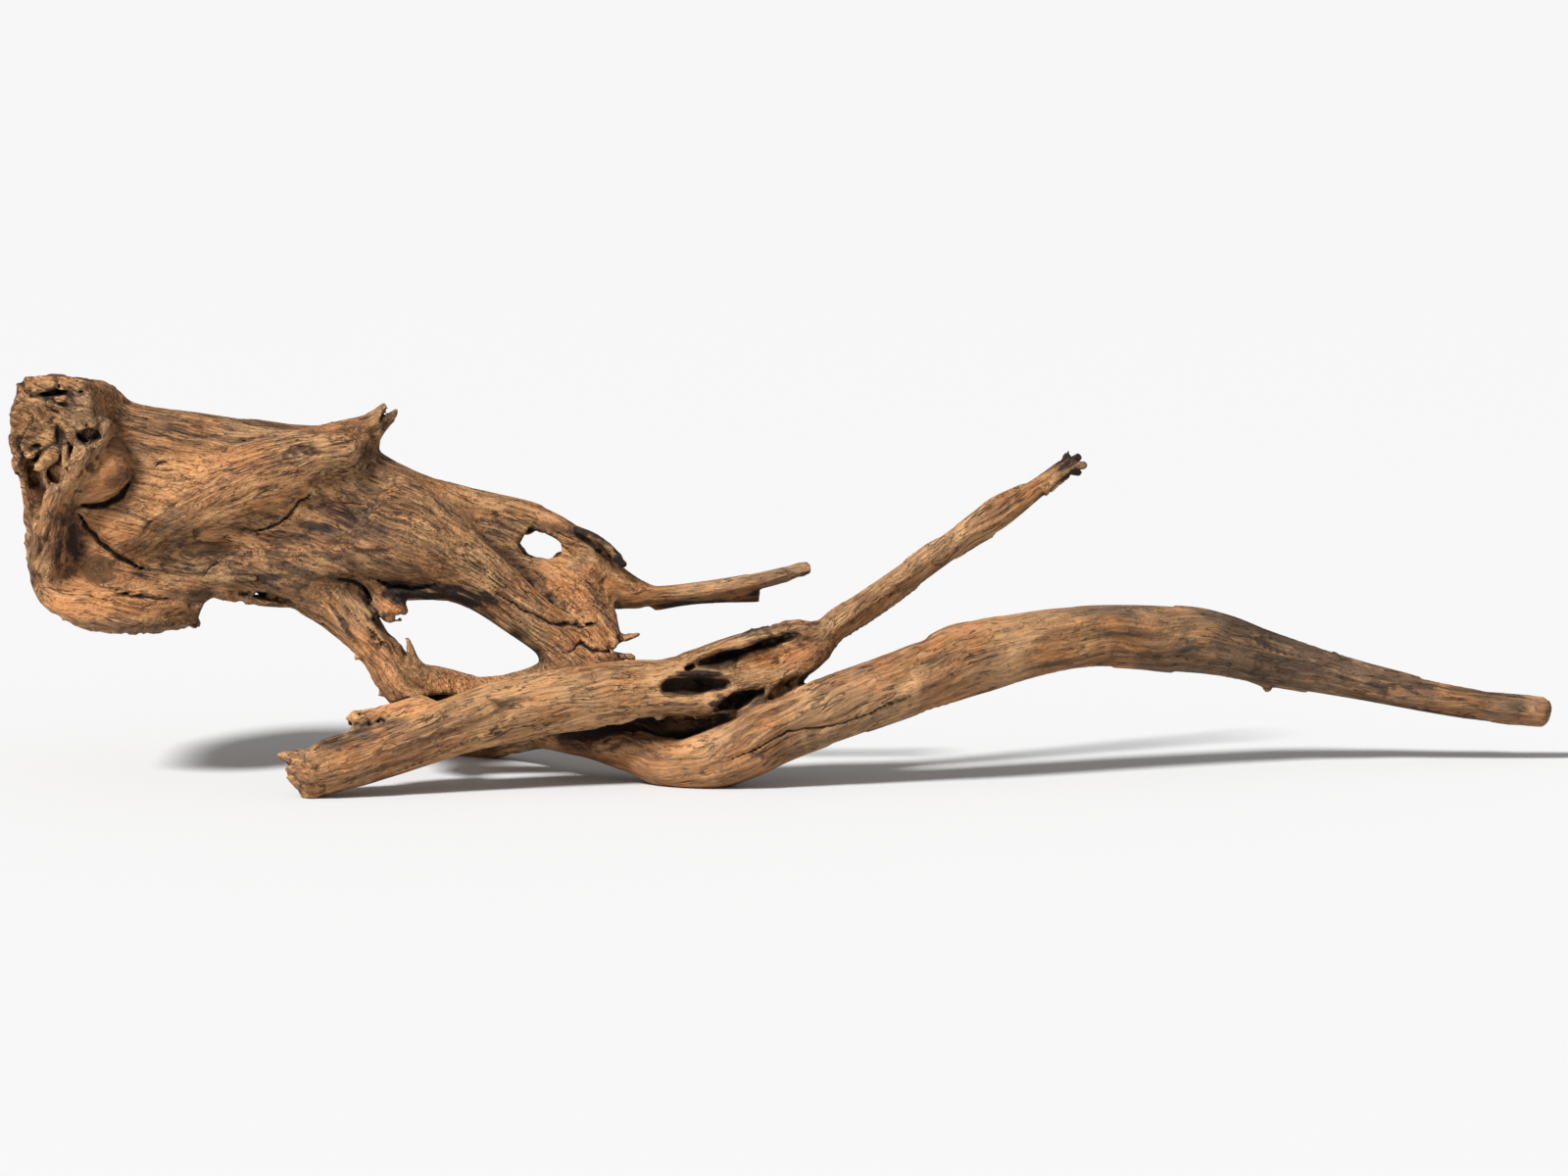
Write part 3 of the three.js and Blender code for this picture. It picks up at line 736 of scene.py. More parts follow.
def sampled_field():
    """The field on a grid, halved twice near the surface; elsewhere it keeps the coarser values.
    Returns the grid's values, its lowest corner and the size of its cells."""
    low = np.min([one.low_corner for one in WOOD], axis=0) - MARGIN
    high = np.max([one.high_corner for one in WOOD], axis=0) + MARGIN
    low[2] = -MARGIN
    (cell, reach), *finer = LEVELS
    shape = np.ceil((high - low) / cell).astype(int) + 1
    points = (low + np.argwhere(np.ones(shape, bool)) * cell).astype(np.float32)
    values = wood_field(points, detailed=False).reshape(shape)
    for finer_cell, finer_reach in finer:
        cells = doubled(near_cells(values, reach))
        values = doubled(values)[:-1, :-1, :-1].copy()
        needed = np.zeros(values.shape, bool)
        for i, j, k in np.ndindex(2, 2, 2):
            needed[i:i + cells.shape[0], j:j + cells.shape[1], k:k + cells.shape[2]] |= cells
        points = (low + np.argwhere(needed) * finer_cell).astype(np.float32)
        values[needed] = wood_field(points)
        cell, reach = finer_cell, finer_reach
    return values, low, cell


def surface_net(values, low, cell_size):
    """The zero level as quads: one vertex in each cell that the level crosses, at the mean of its
    edge crossings, and one quad round each grid edge that crosses it, facing outwards."""
    inside = values < 0
    shape = np.array(values.shape)
    count = np.zeros(shape - 1, np.uint8)
    corners = list(np.ndindex(2, 2, 2))
    for i, j, k in corners:
        count += inside[i:shape[0] - 1 + i, j:shape[1] - 1 + j, k:shape[2] - 1 + k]
    crossed = (count > 0) & (count < 8)
    cells = np.argwhere(crossed)
    number = np.full(shape - 1, -1, np.int64)
    number[crossed] = np.arange(len(cells))
    at_corner = {c: values[tuple((cells + c).T)] for c in corners}
    total = np.zeros((len(cells), 3))
    crossings = np.zeros(len(cells))
    for c in corners:
        for axis in range(3):
            if c[axis] == 0:
                other = tuple(1 if n == axis else c[n] for n in range(3))
                a, b = at_corner[c], at_corner[other]
                cut = (a < 0) != (b < 0)
                share = np.where(cut, a / np.where(cut, a - b, 1), 0)
                total += (np.array(c) + share[:, None] * np.eye(3)[axis]) * cut[:, None]
                crossings += cut
    vertices = low + (cells + total / crossings[:, None]) * cell_size
    quads = []
    for axis in range(3):
        first, second = (axis + 1) % 3, (axis + 2) % 3
        near_side = np.take(inside, range(shape[axis] - 1), axis)
        far_side = np.take(inside, range(1, shape[axis]), axis)
        edges = np.argwhere(near_side != far_side)
        steps = [(1, 1), (0, 1), (0, 0), (1, 0)]
        ring = []
        for back_first, back_second in steps:
            cell = edges.copy()
            cell[:, first] -= back_first
            cell[:, second] -= back_second
            ring.append(number[tuple(cell.T)])
        ring = np.stack(ring, 1)
        turned = ~near_side[tuple(edges.T)]
        ring[turned] = ring[turned][:, ::-1]
        quads.append(ring)
    return vertices, np.vstack(quads)


def thinned(vertices, quads):
    """The surface with its flattest edges collapsed until only TRIANGLES are left."""
    mesh = bpy.data.meshes.new("full")
    mesh.from_pydata(vertices, [], quads)
    whole = bpy.data.objects.new("full", mesh)
    bpy.context.scene.collection.objects.link(whole)
    modifier = whole.modifiers.new("thin", "DECIMATE")
    modifier.ratio = min(1.0, TRIANGLES / (2 * len(quads)))
    modifier.use_collapse_triangulate = True
    thin = whole.evaluated_get(bpy.context.evaluated_depsgraph_get()).to_mesh()
    thin.calc_loop_triangles()
    vertices = np.empty(len(thin.vertices) * 3, np.float32)
    thin.vertices.foreach_get("co", vertices)
    triangles = np.empty(len(thin.loop_triangles) * 3, np.int32)
    thin.loop_triangles.foreach_get("vertices", triangles)
    bpy.data.objects.remove(whole)
    bpy.data.meshes.remove(mesh)
    return vertices.reshape(-1, 3).astype(float), triangles.reshape(-1, 3)


def without_chips(vertices, triangles):
    """Only the largest part of the surface, without chips that hang loose: every vertex takes the
    lowest number among its triangles' vertices until nothing changes."""
    part = np.arange(len(vertices))
    before = None
    while before is None or (part != before).any():
        before = part.copy()
        np.minimum.at(part, triangles, part[triangles].min(1, keepdims=True).repeat(3, 1))
        part = part[part]
    largest = np.bincount(part).argmax()
    kept = part == largest
    number = np.cumsum(kept) - 1
    return vertices[kept], number[triangles[kept[triangles[:, 0]]]]


def vertex_normals(vertices, triangles):
    """The mean of the normals of the triangles round each vertex, by their area."""
    a, b, c = (vertices[triangles[:, n]] for n in range(3))
    face = np.cross(b - a, c - a)
    total = np.zeros_like(vertices)
    for n in range(3):
        for axis in range(3):
            total[:, axis] += np.bincount(triangles[:, n], face[:, axis], len(vertices))
    return total / (np.linalg.norm(total, axis=1, keepdims=True) + 1e-12)


# How far out the surface is felt for its openness and for narrow creases, and how far in for thin edges
# Closed places and creases are darkened with painted shade; thin edges partly get a painted highlight
OPENNESS_OUT = (4.0, 10.0, 22.0)
CREASE_OUT = 1.7
EDGE_IN = 4.0
# Painted shade darkens the hollows from the first depth below the uncut wood and fully from the
# second, within these distances of a hollow's wall, and the folds where their creases are as deep as
# this
SHADE_DEPTH = (1.0, 6.5)
SHADE_WALL = (3.5, 1.0)
FOLD_SHADE = 0.9
FOLD_SHADE_CREASE = (0.25, 0.6)


def field_along(points, normals, out):
    """The field at some distance out along the normals, or in where it is negative."""
    return wood_field((points + normals * out).astype(np.float32))


def openness(points, normals):
    """How open the surface is, from 0 in a cavity to 1: the field met a little way out along the
    normal, over the distance gone, as the mean at three distances."""
    shares = [(field_along(points, normals, out) / out).clip(0, 1) for out in OPENNESS_OUT]
    return sum(shares) / len(shares)


def crease_values(points, normals):
    """How deep in a narrow crease the surface is, from 0 to 1: how much of a short way out along the
    normal the field falls short of."""
    return (1 - field_along(points, normals, CREASE_OUT) / CREASE_OUT).clip(0, 1)


def soot_values(points):
    """How dark painted shade makes the hollows and the creases of the folds: more, the deeper below the
    uncut wood.
    """
    points = points.astype(np.float32)
    deep = smooth_step(*SHADE_DEPTH, -wood_field(points, detailed=False))
    soot = FOLD_SHADE * smooth_step(*FOLD_SHADE_CREASE, fold_creases(points))
    for centre, radii, tilt, power, ragged, strength in HOLLOWS:
        close = near_place(points, centre, radii, tilted=True)
        wall = hollow_field(points[close], centre, radii, tilt, power, ragged)
        soot[close] = np.maximum(soot[close], strength * deep[close] * smooth_step(*SHADE_WALL, wall))
    return soot


def thinness(points, normals):
    """How sharp an edge the surface is on, from 0 to 1: how much shallower than its depth the field
    is a little way in."""
    return ((field_along(points, normals, -EDGE_IN) + EDGE_IN) / EDGE_IN).clip(0, 1)


# Knots, round which the grain runs in rings: their centre and radius. The rings start and are full at
# two shares of the radius, and follow the length, the distance from the centre and the height by these
# shares, with so much of the grain's wander.
KNOTS = [((-418, -34, 130), 6.5), ((-166, -2, 112), 6)]
KNOT_START = 1.6
KNOT_FULL = 0.6
KNOT_RINGS = (0.5, 1.6, 0.3)
KNOT_WANDER = 2


def grain_values(points):
    """For each channel the coordinates of its nearest grain, and the share that each channel has,
    falling off with how much further its grain's surface is than the nearest one's. The coordinates
    run along and across the first limb with that grain, round the knots in rings, and on the left end
    out from its heart."""
    reach = {name: np.full(len(points), FAR_AWAY) for name in GRAINS}
    place = {}
    leaders = {}
    for one in WOOD:
        leaders.setdefault(one.grain, one)
        close = one.near(points)
        distance = one.field(points[close], False)
        reach[one.grain][close] = np.minimum(reach[one.grain][close], distance)
    wander = np.stack([layered_noise(points, layers) for layers in GRAIN_NOISE], 1) * GRAIN_WANDER
    out, way = end_heart(points)
    rays = np.column_stack([out, END_RAYS_TURN * way]) + END_RAYS_WANDER * wander
    on_end = smooth_step(*END_RAYS_IN, beyond_left_end(points)) * smooth_step(*END_RAYS_FROM, points[:, 1])
    for name, one in leaders.items():
        u, v, w, _, _ = one.coordinates(points)
        v, w = one.twisted(u, v, w)
        own = np.stack([u + one.seed * GRAIN_STEP, v, w], 1) + wander
        for centre, radius in KNOTS:
            distance = np.linalg.norm(points - np.array(centre), axis=1)
            share = smooth_step(KNOT_START * radius, KNOT_FULL * radius, distance)[:, None]
            rings = np.stack([u, distance, w], 1) * KNOT_RINGS + KNOT_WANDER * wander
            own = (1 - share) * own + share * rings
        place[name] = (1 - on_end)[:, None] * own + on_end[:, None] * rays
    lowest = np.min(list(reach.values()), axis=0)
    coordinates, shares = [], []
    for channel in range(CHANNELS):
        names = [name for name, values in GRAINS.items() if values[0] == channel]
        distances = np.stack([reach[name] for name in names], 1)
        choice = distances.argmin(1)
        places = np.stack([place[name] for name in names], 1)
        coordinates.append(places[np.arange(len(points)), choice])
        shares.append(np.exp(-(distances.min(1) - lowest) / GRAIN_BLEND))
    shares = np.stack(shares, 1)
    return coordinates, shares / shares.sum(1, keepdims=True)


# Where the wood is raw and orange, grey and weathered, paler, partly as a painted highlight on lit
# tops, or darker, partly stained and partly painted shade under ridges and in hollows and valleys, from
# left to right: the centre, the radii along X, Y and Z, and how strong
RAW = [
    ((-440, -34, 150), (16, 24, 30), 0.7), ((-412, -48, 150), (28, 22, 22), 0.9),
    ((-406, -42, 188), (20, 20, 18), 1.0), ((-405, -40, 112), (64, 44, 22), 1.1),
    ((-350, -40, 190), (70, 34, 34), 0.8), ((-320, -30, 145), (60, 20, 20), 0.5),
    ((-250, -30, 75), (20, 20, 26), 0.5), ((-244, -24, 108), (12, 14, 12), 0.9),
    ((-235, -66, 50), (36, 16, 8), 1.0), ((-195, -30, 55), (60, 20, 12), 0.9),
    ((-148, -8, 112), (44, 24, 26), 0.9), ((-125, -20, 80), (26, 24, 22), 1.0),
    ((-60, -46, 20), (60, 30, 24), 0.3), ((-8, -44, 78), (26, 16, 12), 1.0),
]
GREY = [
    ((-470, 10, 182), (16, 52, 70), 0.6), ((-440, -40, 170), (14, 20, 26), 0.3),
    ((-425, -50, 222), (16, 20, 20), 0.7), ((-400, -36, 92), (70, 50, 13), 0.9),
    ((-246, 4, 222), (12, 12, 12), 0.7), ((-20, -34, 92), (34, 16, 10), 1.0),
    ((2, 4, 125), (22, 12, 12), 0.9), ((172, 36, 188), (16, 14, 14), 0.6),
    ((190, -4, 104), (40, 20, 8), 1.0), ((300, 32, 68), (190, 50, 45), 0.85),
]
# Paler patches: some on tops and lit faces are a painted highlight
PALE_AND_HIGHLIT = [
    ((-436, -52, 226), (30, 14, 26), 0.25), ((-430, -52, 195), (12, 14, 26), 0.8),
    ((-406, -34, 160), (16, 20, 9), 0.6), ((-405, -45, 110), (60, 30, 18), 0.45),
    ((-370, -36, 190), (50, 24, 20), 0.4), ((-330, -30, 180), (60, 24, 16), 0.4),
    ((-280, -25, 195), (40, 24, 20), 0.4), ((-260, -14, 100), (24, 20, 40), 0.6),
    ((-222, -16, 170), (10, 20, 12), 0.8), ((-205, 8, 167), (60, 26, 10), 1.1),
    ((-205, -16, 148), (9, 20, 12), 0.8), ((-200, -10, 150), (60, 30, 24), 0.5),
    ((-190, -62, 44), (110, 40, 40), 0.8), ((-186, -16, 122), (9, 20, 14), 0.8),
    ((-156, 10, 156), (22, 20, 7), 0.9), ((-70, -60, 72), (40, 30, 14), 0.9),
    ((-40, 5, 117), (50, 12, 6), 0.4), ((-40, -60, 12), (50, 20, 18), 0.5),
    ((-22, -60, 62), (26, 16, 9), 1.2), ((-4, -50, 66), (28, 16, 10), 0.9),
    ((90, 0, 130), (110, 50, 60), 0.5),
]
# Darker patches: stains, and painted shade under the spike's flange, the ridge and the splinters, and in
# the slots, the valley and the opening's wall
STAIN_AND_SHADE_PATCHES = [
    ((-460, 4, 184), (14, 24, 26), 1.2), ((-440, -32, 150), (16, 24, 36), 1.1),
    ((-418, -36, 131), (6, 10, 5), 0.8), ((-402, -40, 188), (17, 18, 18), 0.7),
    ((-393, -38, 215), (7, 14, 8), 0.7), ((-385, -36, 128), (14, 12, 5), 1.2),
    ((-384, -44, 180), (5, 10, 5), 0.8), ((-382, -44, 194), (5, 10, 4), 0.8),
    ((-382, -34, 148), (26, 20, 10), 0.6), ((-377, -28, 207), (36, 26, 13), 0.8),
    ((-375, -44, 187), (7, 10, 6), 0.9), ((-362, -30, 131), (24, 22, 9), 0.8),
    ((-300, -26, 136), (70, 26, 20), 0.7), ((-270, -24, 134), (70, 20, 12), 0.5),
    ((-268, -22, 155), (42, 26, 14), 0.9), ((-262, 0, 196), (12, 20, 12), 0.5),
    ((-240, -18, 166), (22, 24, 11), 0.5), ((-225, -22, 124), (36, 20, 9), 0.5),
    ((-214, -18, 144), (16, 24, 13), 0.5), ((-210, -16, 113), (46, 24, 11), 1.6),
    ((-200, -20, 108), (30, 14, 14), 0.5), ((-197, -18, 124), (14, 20, 12), 0.5),
    ((-183, -14, 101), (16, 20, 7), 0.8), ((-180, 10, 149), (34, 20, 7), 0.7),
    ((-166, -14, 90), (14, 20, 8), 1.0), ((-160, 6, 150), (26, 16, 7), 0.7),
    ((-152, -14, 78), (9, 20, 10), 1.0), ((-127, 4, 149), (8, 8, 5), 2.0),
    ((-117, 0, 143), (9, 8, 7), 2.2), ((-106, 0, 133), (8, 8, 8), 2.2),
    ((-104, -4, 78), (12, 14, 10), 0.7), ((-96, -48, 27), (32, 14, 9), 0.7),
    ((-95, -22, 30), (60, 18, 16), 1.4), ((-55, -59, 70), (17, 9, 3.4), 2.0),
    ((-54, 10, 102), (46, 11, 6), 2.5), ((-43, -60, 51), (9, 8, 5.5), 1.6),
    ((-19, 10, 108), (8, 10, 8), 2.5), ((-14, -32, 95), (32, 14, 7), 1.1), ((8, 2, 124), (12, 8, 4), 0.7),
    ((30, -45, 48), (140, 44, 56), 0.15), ((175, 37, 190), (15, 18, 15), 2.4),
    ((195, -20, 84), (36, 18, 12), 0.6), ((230, 10, 80), (120, 60, 44), 0.3),
    ((285, 24, 74), (120, 40, 34), 0.6), ((400, 46, 42), (80, 30, 30), 0.65),
    ((473, 52, 31), (5, 10, 9), 0.8),
]
# Old bark is left in patches along the front limb's end: each one's centre, and how grey and, a
# millimetre higher, how dark it is
BARK_RADII = (12, 14, 5)
BARK = [((-272, -90, 33), 1.0, 0.8), ((-255, -88, 38), 1.0, 0.8), ((-239, -84, 43), 0.8, 0.6)]
for (x, y, z), grey_strength, dark_strength in BARK:
    GREY.append(((x, y, z), BARK_RADII, grey_strength))
    STAIN_AND_SHADE_PATCHES.append(((x, y, z + 1), BARK_RADII, dark_strength))
# The shares of the radii at which a patch starts and is full
PATCH_EDGE = (1.15, 0.45)


def patches(points, places):
    """The strongest of some soft patches: each fades from its middle to its edge, and the edge is
    broken up by noise."""
    ragged = layered_noise(points, PATCH_NOISE)
    total = np.zeros(len(points))
    for centre, radii, strength in places:
        distance = np.linalg.norm((points - np.array(centre)) / radii, axis=1) + ragged
        total = np.maximum(total, strength * smooth_step(*PATCH_EDGE, distance))
    return total


def skin_and_roughness(points):
    """Where the flaking skin is left, and how rough the grain is, on the limb nearest to each
    vertex."""
    nearest = np.full(len(points), FAR_AWAY)
    skin = np.zeros(len(points))
    rough = np.ones(len(points))
    for one in WOOD:
        close = one.near(points)
        distance = one.field(points[close], False)
        left = one.skin_left(*one.coordinates(points[close])[:3])
        closer = distance < nearest[close]
        skin[close[closer]] = left[closer]
        rough[close[closer]] = one.rough
        nearest[close] = np.minimum(nearest[close], distance)
    return skin, rough


def give_attribute(mesh, name, values):
    """Puts one value, three or four on every vertex."""
    values = np.asarray(values, np.float32)
    kind, key = {1: ("FLOAT", "value"), 3: ("FLOAT_VECTOR", "vector"), 4: ("FLOAT_COLOR", "color")}[
        1 if values.ndim == 1 else values.shape[1]]
    mesh.attributes.new(name, kind, "POINT").data.foreach_set(key, values.ravel())


def driftwood():
    """The wood's mesh with everything that its material reads."""
    vertices, triangles = without_chips(*thinned(*surface_net(*sampled_field())))
    normals = vertex_normals(vertices, triangles)
    mesh = bpy.data.meshes.new(NODE)
    mesh.from_pydata(vertices * MM, [], triangles)
    mesh.polygons.foreach_set("use_smooth", np.ones(len(triangles), bool))
    coordinates, shares = grain_values(vertices.astype(np.float32))
    skin, rough = skin_and_roughness(vertices.astype(np.float32))
    crack, cracked = crack_values(vertices)
    attributes = {f"grain_{channel}": values for channel, values in enumerate(coordinates)}
    attributes.update(
        grain_share=shares, skin=skin, rough=rough, crack=crack, cracked=cracked,
        open=openness(vertices, normals), crease=crease_values(vertices, normals),
        soot=soot_values(vertices), worn=thinness(vertices, normals))
    for name, places in (("raw", RAW), ("grey", GREY), ("dark", STAIN_AND_SHADE_PATCHES), ("pale_and_highlit", PALE_AND_HIGHLIT)):
        attributes[name] = patches(vertices, places)
    for name, values in attributes.items():
        give_attribute(mesh, name, values)
    mesh.update()
    piece = bpy.data.objects.new("driftwood_surface", mesh)
    bpy.context.scene.collection.objects.link(piece)
    return piece


class Nodes:
    """Short ways to add the nodes of one tree."""

    def __init__(self, tree):
        self.tree = tree

    def add(self, kind, **settings):
        node = self.tree.nodes.new(kind)
        for key, value in settings.items():
            setattr(node, key, value)
        return node

    def set(self, socket, value):
        if isinstance(value, bpy.types.NodeSocket):
            self.tree.links.new(value, socket)
        else:
            socket.default_value = value

    def math(self, operation, a, b=0.0, clamp=False):
        node = self.add("ShaderNodeMath", operation=operation, use_clamp=clamp)
        self.set(node.inputs[0], a)
        self.set(node.inputs[1], b)
        return node.outputs[0]

    def times(self, a, b):
        return self.math("MULTIPLY", a, b)

    def stretch(self, vector, along, across):
        """Coordinates with one wavelength along the grain and one across it."""
        node = self.add("ShaderNodeVectorMath", operation="MULTIPLY")
        self.set(node.inputs[0], vector)
        node.inputs[1].default_value = (1 / along, 1 / across, 1 / across)
        return node.outputs[0]

    def noise(self, vector, detail, roughness=0.5):
        node = self.add("ShaderNodeTexNoise")
        self.set(node.inputs["Vector"], vector)
        node.inputs["Scale"].default_value = 1.0
        node.inputs["Detail"].default_value = detail
        node.inputs["Roughness"].default_value = roughness
        return node.outputs["Fac"]

    def ramp(self, value, low, high):
        """0 below low, 1 above high, and smooth between."""
        node = self.add("ShaderNodeMapRange", interpolation_type="SMOOTHSTEP")
        self.set(node.inputs["Value"], value)
        node.inputs["From Min"].default_value = low
        node.inputs["From Max"].default_value = high
        return node.outputs["Result"]

    def mix(self, share, a, b):
        """Colour a turned towards colour b."""
        node = self.add("ShaderNodeMix", data_type="RGBA")
        self.set(node.inputs[0], share)
        self.set(node.inputs[6], a)
        self.set(node.inputs[7], b)
        return node.outputs[2]

    def attribute(self, name, output="Fac"):
        return self.add("ShaderNodeAttribute", attribute_name=name).outputs[output]


# The wood's colours
TAN = (0.338, 0.151, 0.055, 1)
PALE = (0.705, 0.394, 0.180, 1)
BROWN = (0.115, 0.052, 0.023, 1)
ORANGE = (0.620, 0.250, 0.086, 1)
GREY_WOOD = (0.145, 0.095, 0.062, 1)
KHAKI = (0.350, 0.216, 0.114, 1)
# Dark brown for stains, checks and specks, and for painted shade in creases and shaded patches
STAIN_AND_SHADE = (0.036, 0.021, 0.015, 1)
# Near black for dark cracks and for painted shade in cavities, hollows and folds
CRACK_AND_SHADE_DARK = (0.014, 0.009, 0.007, 1)

# What each grain's coordinates are turned into. Fibres and streaks: their wavelengths along and across
# the grain, their detail and its roughness. Checks: their wavelengths and half width.
WAVES = {"Fibres": (30.0, 2.0, 5.0, 0.62), "Streaks": (80.0, 7.5, 3.0, 0.6)}
CHECKS = {"Long checks": (48.0, 4.5, 0.020), "Short checks": (15.0, 2.6, 0.034)}
GRAIN_PATTERNS = (*WAVES, *CHECKS)

# How deep the bumps of a grain of roughness 1 are, in metres, and what adds to them by how much
BUMP_DEPTH = 0.0032
BUMP_SHARES = {"Fibres": 0.9, "Streaks": 0.6, "Long checks": -0.5, "Short checks": -0.35}
GRIT_SHARE = 0.35


def grain_group():
    """One grain's patterns from its coordinates: fibres, broad streaks, and long and short checks,
    which are thin lines where a drawn-out noise crosses its middle value, kept only in patches."""
    group = bpy.data.node_groups.new("grain", "ShaderNodeTree")
    group.interface.new_socket("Place", in_out="INPUT", socket_type="NodeSocketVector")
    for name in GRAIN_PATTERNS:
        group.interface.new_socket(name, in_out="OUTPUT", socket_type="NodeSocketFloat")
    nodes = Nodes(group)
    place = nodes.add("NodeGroupInput").outputs["Place"]
    out = nodes.add("NodeGroupOutput")
    for name, (along, across, detail, roughness) in WAVES.items():
        nodes.set(out.inputs[name], nodes.noise(nodes.stretch(place, along, across), detail, roughness))
    for name, (along, across, half_width) in CHECKS.items():
        wave = nodes.noise(nodes.stretch(place, along, across), 2.0)
        middle = nodes.math("ABSOLUTE", nodes.math("SUBTRACT", wave, 0.5))
        patch = nodes.ramp(nodes.noise(nodes.stretch(place, along / 2, across * 1.8), 1.0), 0.47, 0.60)
        line = nodes.ramp(middle, half_width, half_width / 5)
        nodes.set(out.inputs[name], nodes.times(line, patch))
    return group


def grain_sums(nodes):
    """Each grain pattern summed over the channels, by the share that each channel has."""
    group = grain_group()
    split = nodes.add("ShaderNodeSeparateColor")
    share = nodes.add("ShaderNodeAttribute", attribute_name="grain_share")
    nodes.set(split.inputs[0], share.outputs["Color"])
    shares = [*split.outputs[:3], share.outputs["Alpha"]]
    sums = dict.fromkeys(GRAIN_PATTERNS, 0.0)
    for channel in range(CHANNELS):
        grain = nodes.add("ShaderNodeGroup", node_tree=group)
        nodes.set(grain.inputs["Place"], nodes.attribute(f"grain_{channel}", "Vector"))
        for name in sums:
            sums[name] = nodes.math("ADD", sums[name], nodes.times(grain.outputs[name], shares[channel]))
    return sums


def wood_colour(nodes, sums, place):
    """The colour: tan with brown streaks, then layers one over the other, each with how much of it
    there is, its strength and its colour. The sizes of blotches, clouds and specks are in metres."""
    blotches = nodes.noise(nodes.stretch(place, 0.040, 0.040), 4.0, 0.62)
    clouds = nodes.noise(nodes.stretch(place, 0.075, 0.055), 3.0, 0.6)
    specks = nodes.noise(nodes.stretch(place, 0.0045, 0.0045), 1.0)
    rough = nodes.attribute("rough")
    raw_blotches = nodes.times(nodes.ramp(blotches, 0.48, 0.32), 0.5)
    raw = nodes.math("ADD", nodes.attribute("raw"), raw_blotches, True)
    old = nodes.math("MAXIMUM", nodes.times(nodes.attribute("grey"), 0.85),
                     nodes.times(nodes.attribute("skin"), 0.22))
    streaked_stain_and_shade = nodes.math("ADD", nodes.ramp(sums["Streaks"], 0.38, 0.58), 0.35)
    crack_line = nodes.ramp(nodes.math("ABSOLUTE", nodes.attribute("crack")), 1.0, 0.4)
    layers = [
        (nodes.ramp(clouds, 0.46, 0.62), 0.6, KHAKI),
        (nodes.ramp(blotches, 0.50, 0.66), 0.6, PALE),
        (raw, 0.8, ORANGE),
        (old, 1.0, GREY_WOOD),
        # Paler patches, partly a painted highlight on lit tops
        (nodes.attribute("pale_and_highlit"), 0.38, PALE),
        # Thin edges paler, partly wear and partly a painted highlight
        (nodes.ramp(nodes.attribute("worn"), 0.15, 0.7), 0.4, PALE),
        (nodes.times(nodes.ramp(sums["Fibres"], 0.50, 0.34), rough), 0.72, BROWN),
        (nodes.times(nodes.ramp(sums["Fibres"], 0.50, 0.66), rough), 0.62, PALE),
        # Darker patches, partly stains and partly painted shade
        (nodes.times(nodes.attribute("dark"), streaked_stain_and_shade), 0.8, STAIN_AND_SHADE),
        # Painted shade in narrow creases
        (nodes.ramp(nodes.attribute("crease"), 0.10, 0.55), 0.75, STAIN_AND_SHADE),
        (sums["Long checks"], 0.8, STAIN_AND_SHADE),
        (nodes.times(sums["Short checks"], rough), 0.55, STAIN_AND_SHADE),
        (nodes.ramp(specks, 0.70, 0.78), 0.4, STAIN_AND_SHADE),
        # Painted shade in closed places and cavities
        (nodes.ramp(nodes.attribute("open"), 0.44, 0.06), 0.85, CRACK_AND_SHADE_DARK),
        # Painted shade in the hollows and the folds' creases
        (nodes.attribute("soot"), 0.93, CRACK_AND_SHADE_DARK),
        (nodes.times(crack_line, nodes.attribute("cracked")), 0.9, CRACK_AND_SHADE_DARK),
    ]
    colour = nodes.mix(nodes.ramp(sums["Streaks"], 0.42, 0.66), TAN, BROWN)
    for share, strength, paint in layers:
        colour = nodes.mix(nodes.times(share, strength), colour, paint)
    return colour


def wood_bumps(nodes, sums, place):
    """The bumps of the grain's patterns and of a fine grit, higher where the grain is rougher."""
    grit = nodes.noise(nodes.stretch(place, 0.0022, 0.0022), 2.0, 0.6)
    height = nodes.times(grit, GRIT_SHARE)
    for name, share in BUMP_SHARES.items():
        height = nodes.math("ADD", height, nodes.times(sums[name], share))
    bump = nodes.add("ShaderNodeBump")
    bump.inputs["Strength"].default_value = 1.0
    bump.inputs["Distance"].default_value = BUMP_DEPTH
    nodes.set(bump.inputs["Height"], nodes.times(height, nodes.attribute("rough")))
    return bump.outputs["Normal"]


def wood_material():
    """Dry weathered wood: tan fibres with brown streaks, orange where it is raw, grey where it is
    old, dark in its cracks and checks, darkened with painted shade in its cavities and creases, and
    paler in patches and on worn edges, partly as a painted highlight."""
    material = bpy.data.materials.new("driftwood")
    material.use_nodes = True
    material.node_tree.nodes.clear()
    nodes = Nodes(material.node_tree)
    sums = grain_sums(nodes)
    place = nodes.add("ShaderNodeTexCoord").outputs["Object"]
    shader = nodes.add("ShaderNodeBsdfPrincipled")
    nodes.set(shader.inputs["Base Color"], wood_colour(nodes, sums, place))
    nodes.set(shader.inputs["Roughness"], nodes.math("SUBTRACT", 0.95, nodes.times(sums["Fibres"], 0.25)))
    shader.inputs["Specular IOR Level"].default_value = 0.25
    nodes.set(shader.inputs["Normal"], wood_bumps(nodes, sums, place))
    nodes.set(nodes.add("ShaderNodeOutputMaterial").inputs["Surface"], shader.outputs[0])
    return material


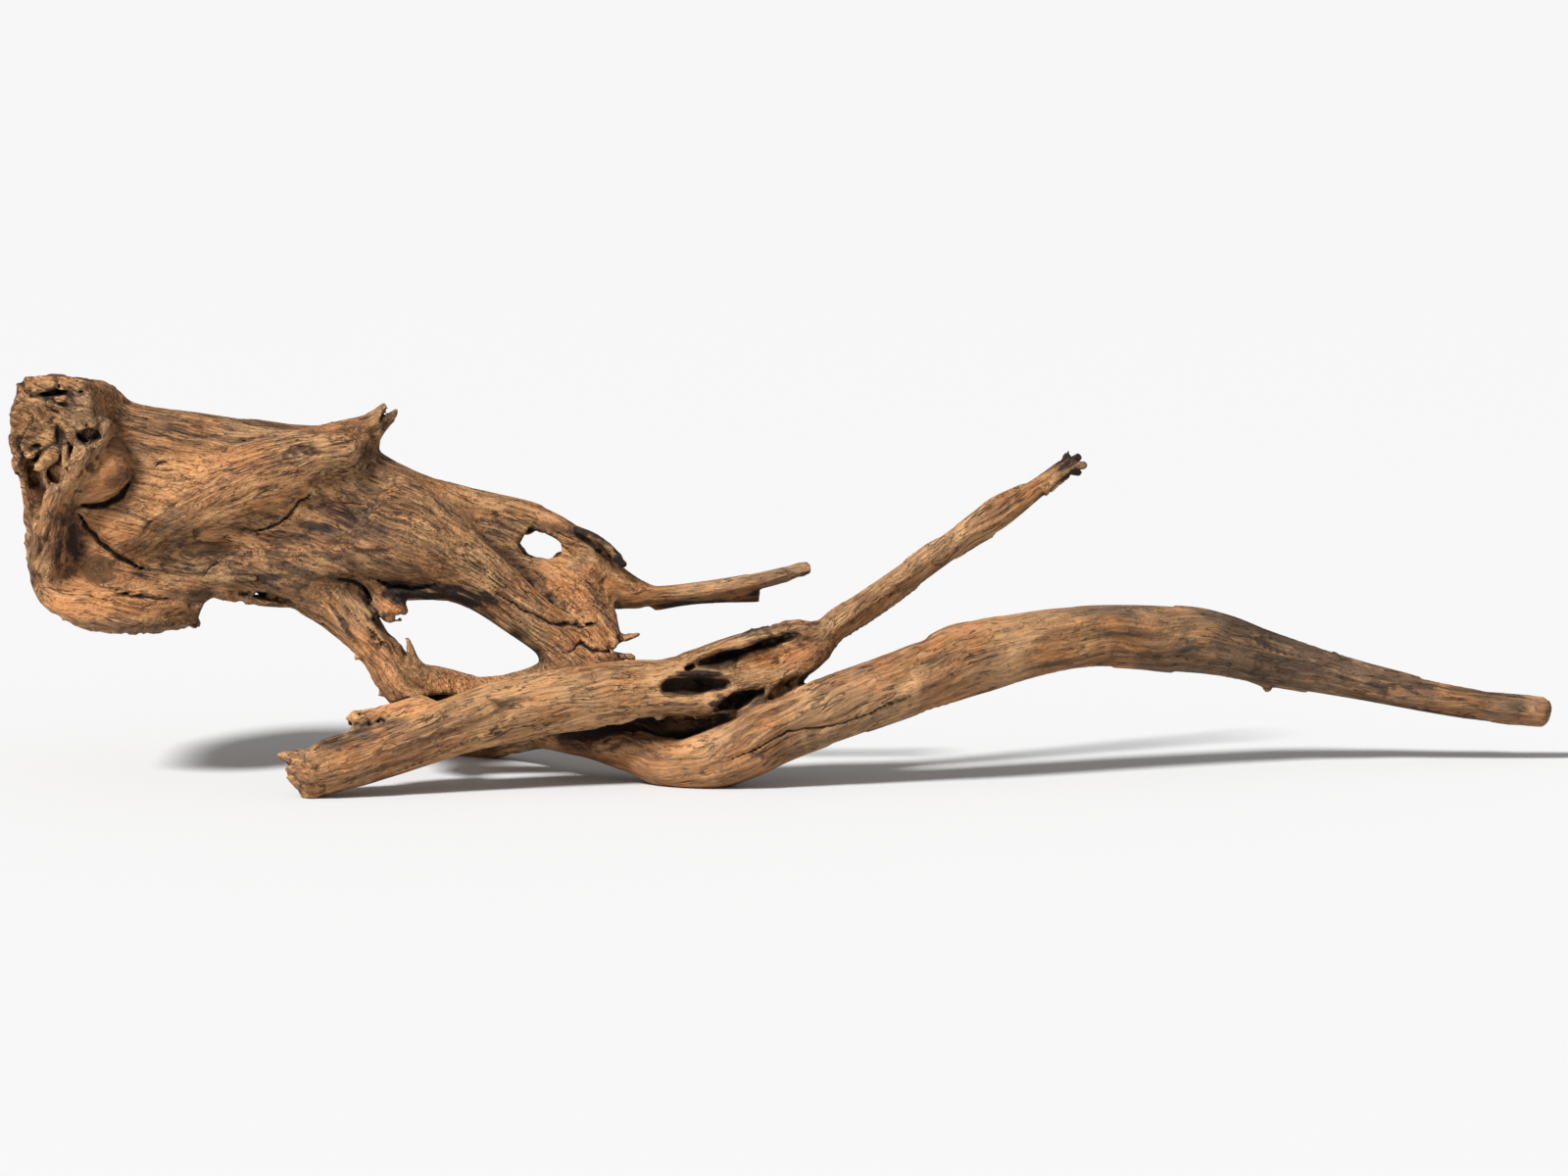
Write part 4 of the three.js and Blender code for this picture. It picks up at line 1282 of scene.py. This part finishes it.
def plain_material(name, colour):
    """An even matt paint."""
    material = bpy.data.materials.new(name)
    material.use_nodes = True
    shader = material.node_tree.nodes["Principled BSDF"]
    shader.inputs["Base Color"].default_value = colour
    shader.inputs["Roughness"].default_value = 0.9
    shader.inputs["Specular IOR Level"].default_value = 0.1
    return material


def pale_floor():
    """A wide pale floor that the wood lies on."""
    side = FLOOR_HALF_SIDE
    mesh = bpy.data.meshes.new("floor")
    corners = [(-side, -side, 0), (side, -side, 0), (side, side, 0), (-side, side, 0)]
    mesh.from_pydata(corners, [], [(0, 1, 2, 3)])
    mesh.materials.append(plain_material("pale_floor", FLOOR_COLOUR))
    floor = bpy.data.objects.new("floor", mesh)
    bpy.context.scene.collection.objects.link(floor)


def studio():
    """A soft key light from the upper left in front, and a white surround."""
    world = bpy.data.worlds.new("studio")
    world.use_nodes = True
    background = world.node_tree.nodes["Background"]
    background.inputs["Color"].default_value = SURROUND
    background.inputs["Strength"].default_value = SURROUND_STRENGTH
    bpy.context.scene.world = world
    bpy.context.scene.view_settings.view_transform = "Standard"
    lamp = bpy.data.lights.new("key", "SUN")
    lamp.energy = KEY_STRENGTH
    lamp.angle = KEY_SOFTNESS
    key = bpy.data.objects.new("key", lamp)
    key.rotation_euler = Vector(KEY_DIRECTION).to_track_quat("-Z", "Y").to_euler()
    bpy.context.scene.collection.objects.link(key)


def photo_camera():
    """The camera, at the photograph's height, distance and angle of view."""
    data = bpy.data.cameras.new("camera")
    data.lens = CAMERA_LENS
    data.sensor_width = SENSOR_WIDTH
    camera = bpy.data.objects.new("camera", data)
    back = Vector((0, -math.cos(CAMERA_ELEVATION), math.sin(CAMERA_ELEVATION)))
    camera.location = Vector(CAMERA_TARGET) + back * CAMERA_DISTANCE
    camera.rotation_euler = (math.pi / 2 - CAMERA_ELEVATION, 0, 0)
    bpy.context.scene.collection.objects.link(camera)
    bpy.context.scene.camera = camera


photo_camera()
studio()
pale_floor()
wood = driftwood()
wood.data.materials.append(wood_material())
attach(wood, "root")
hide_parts(NODE)
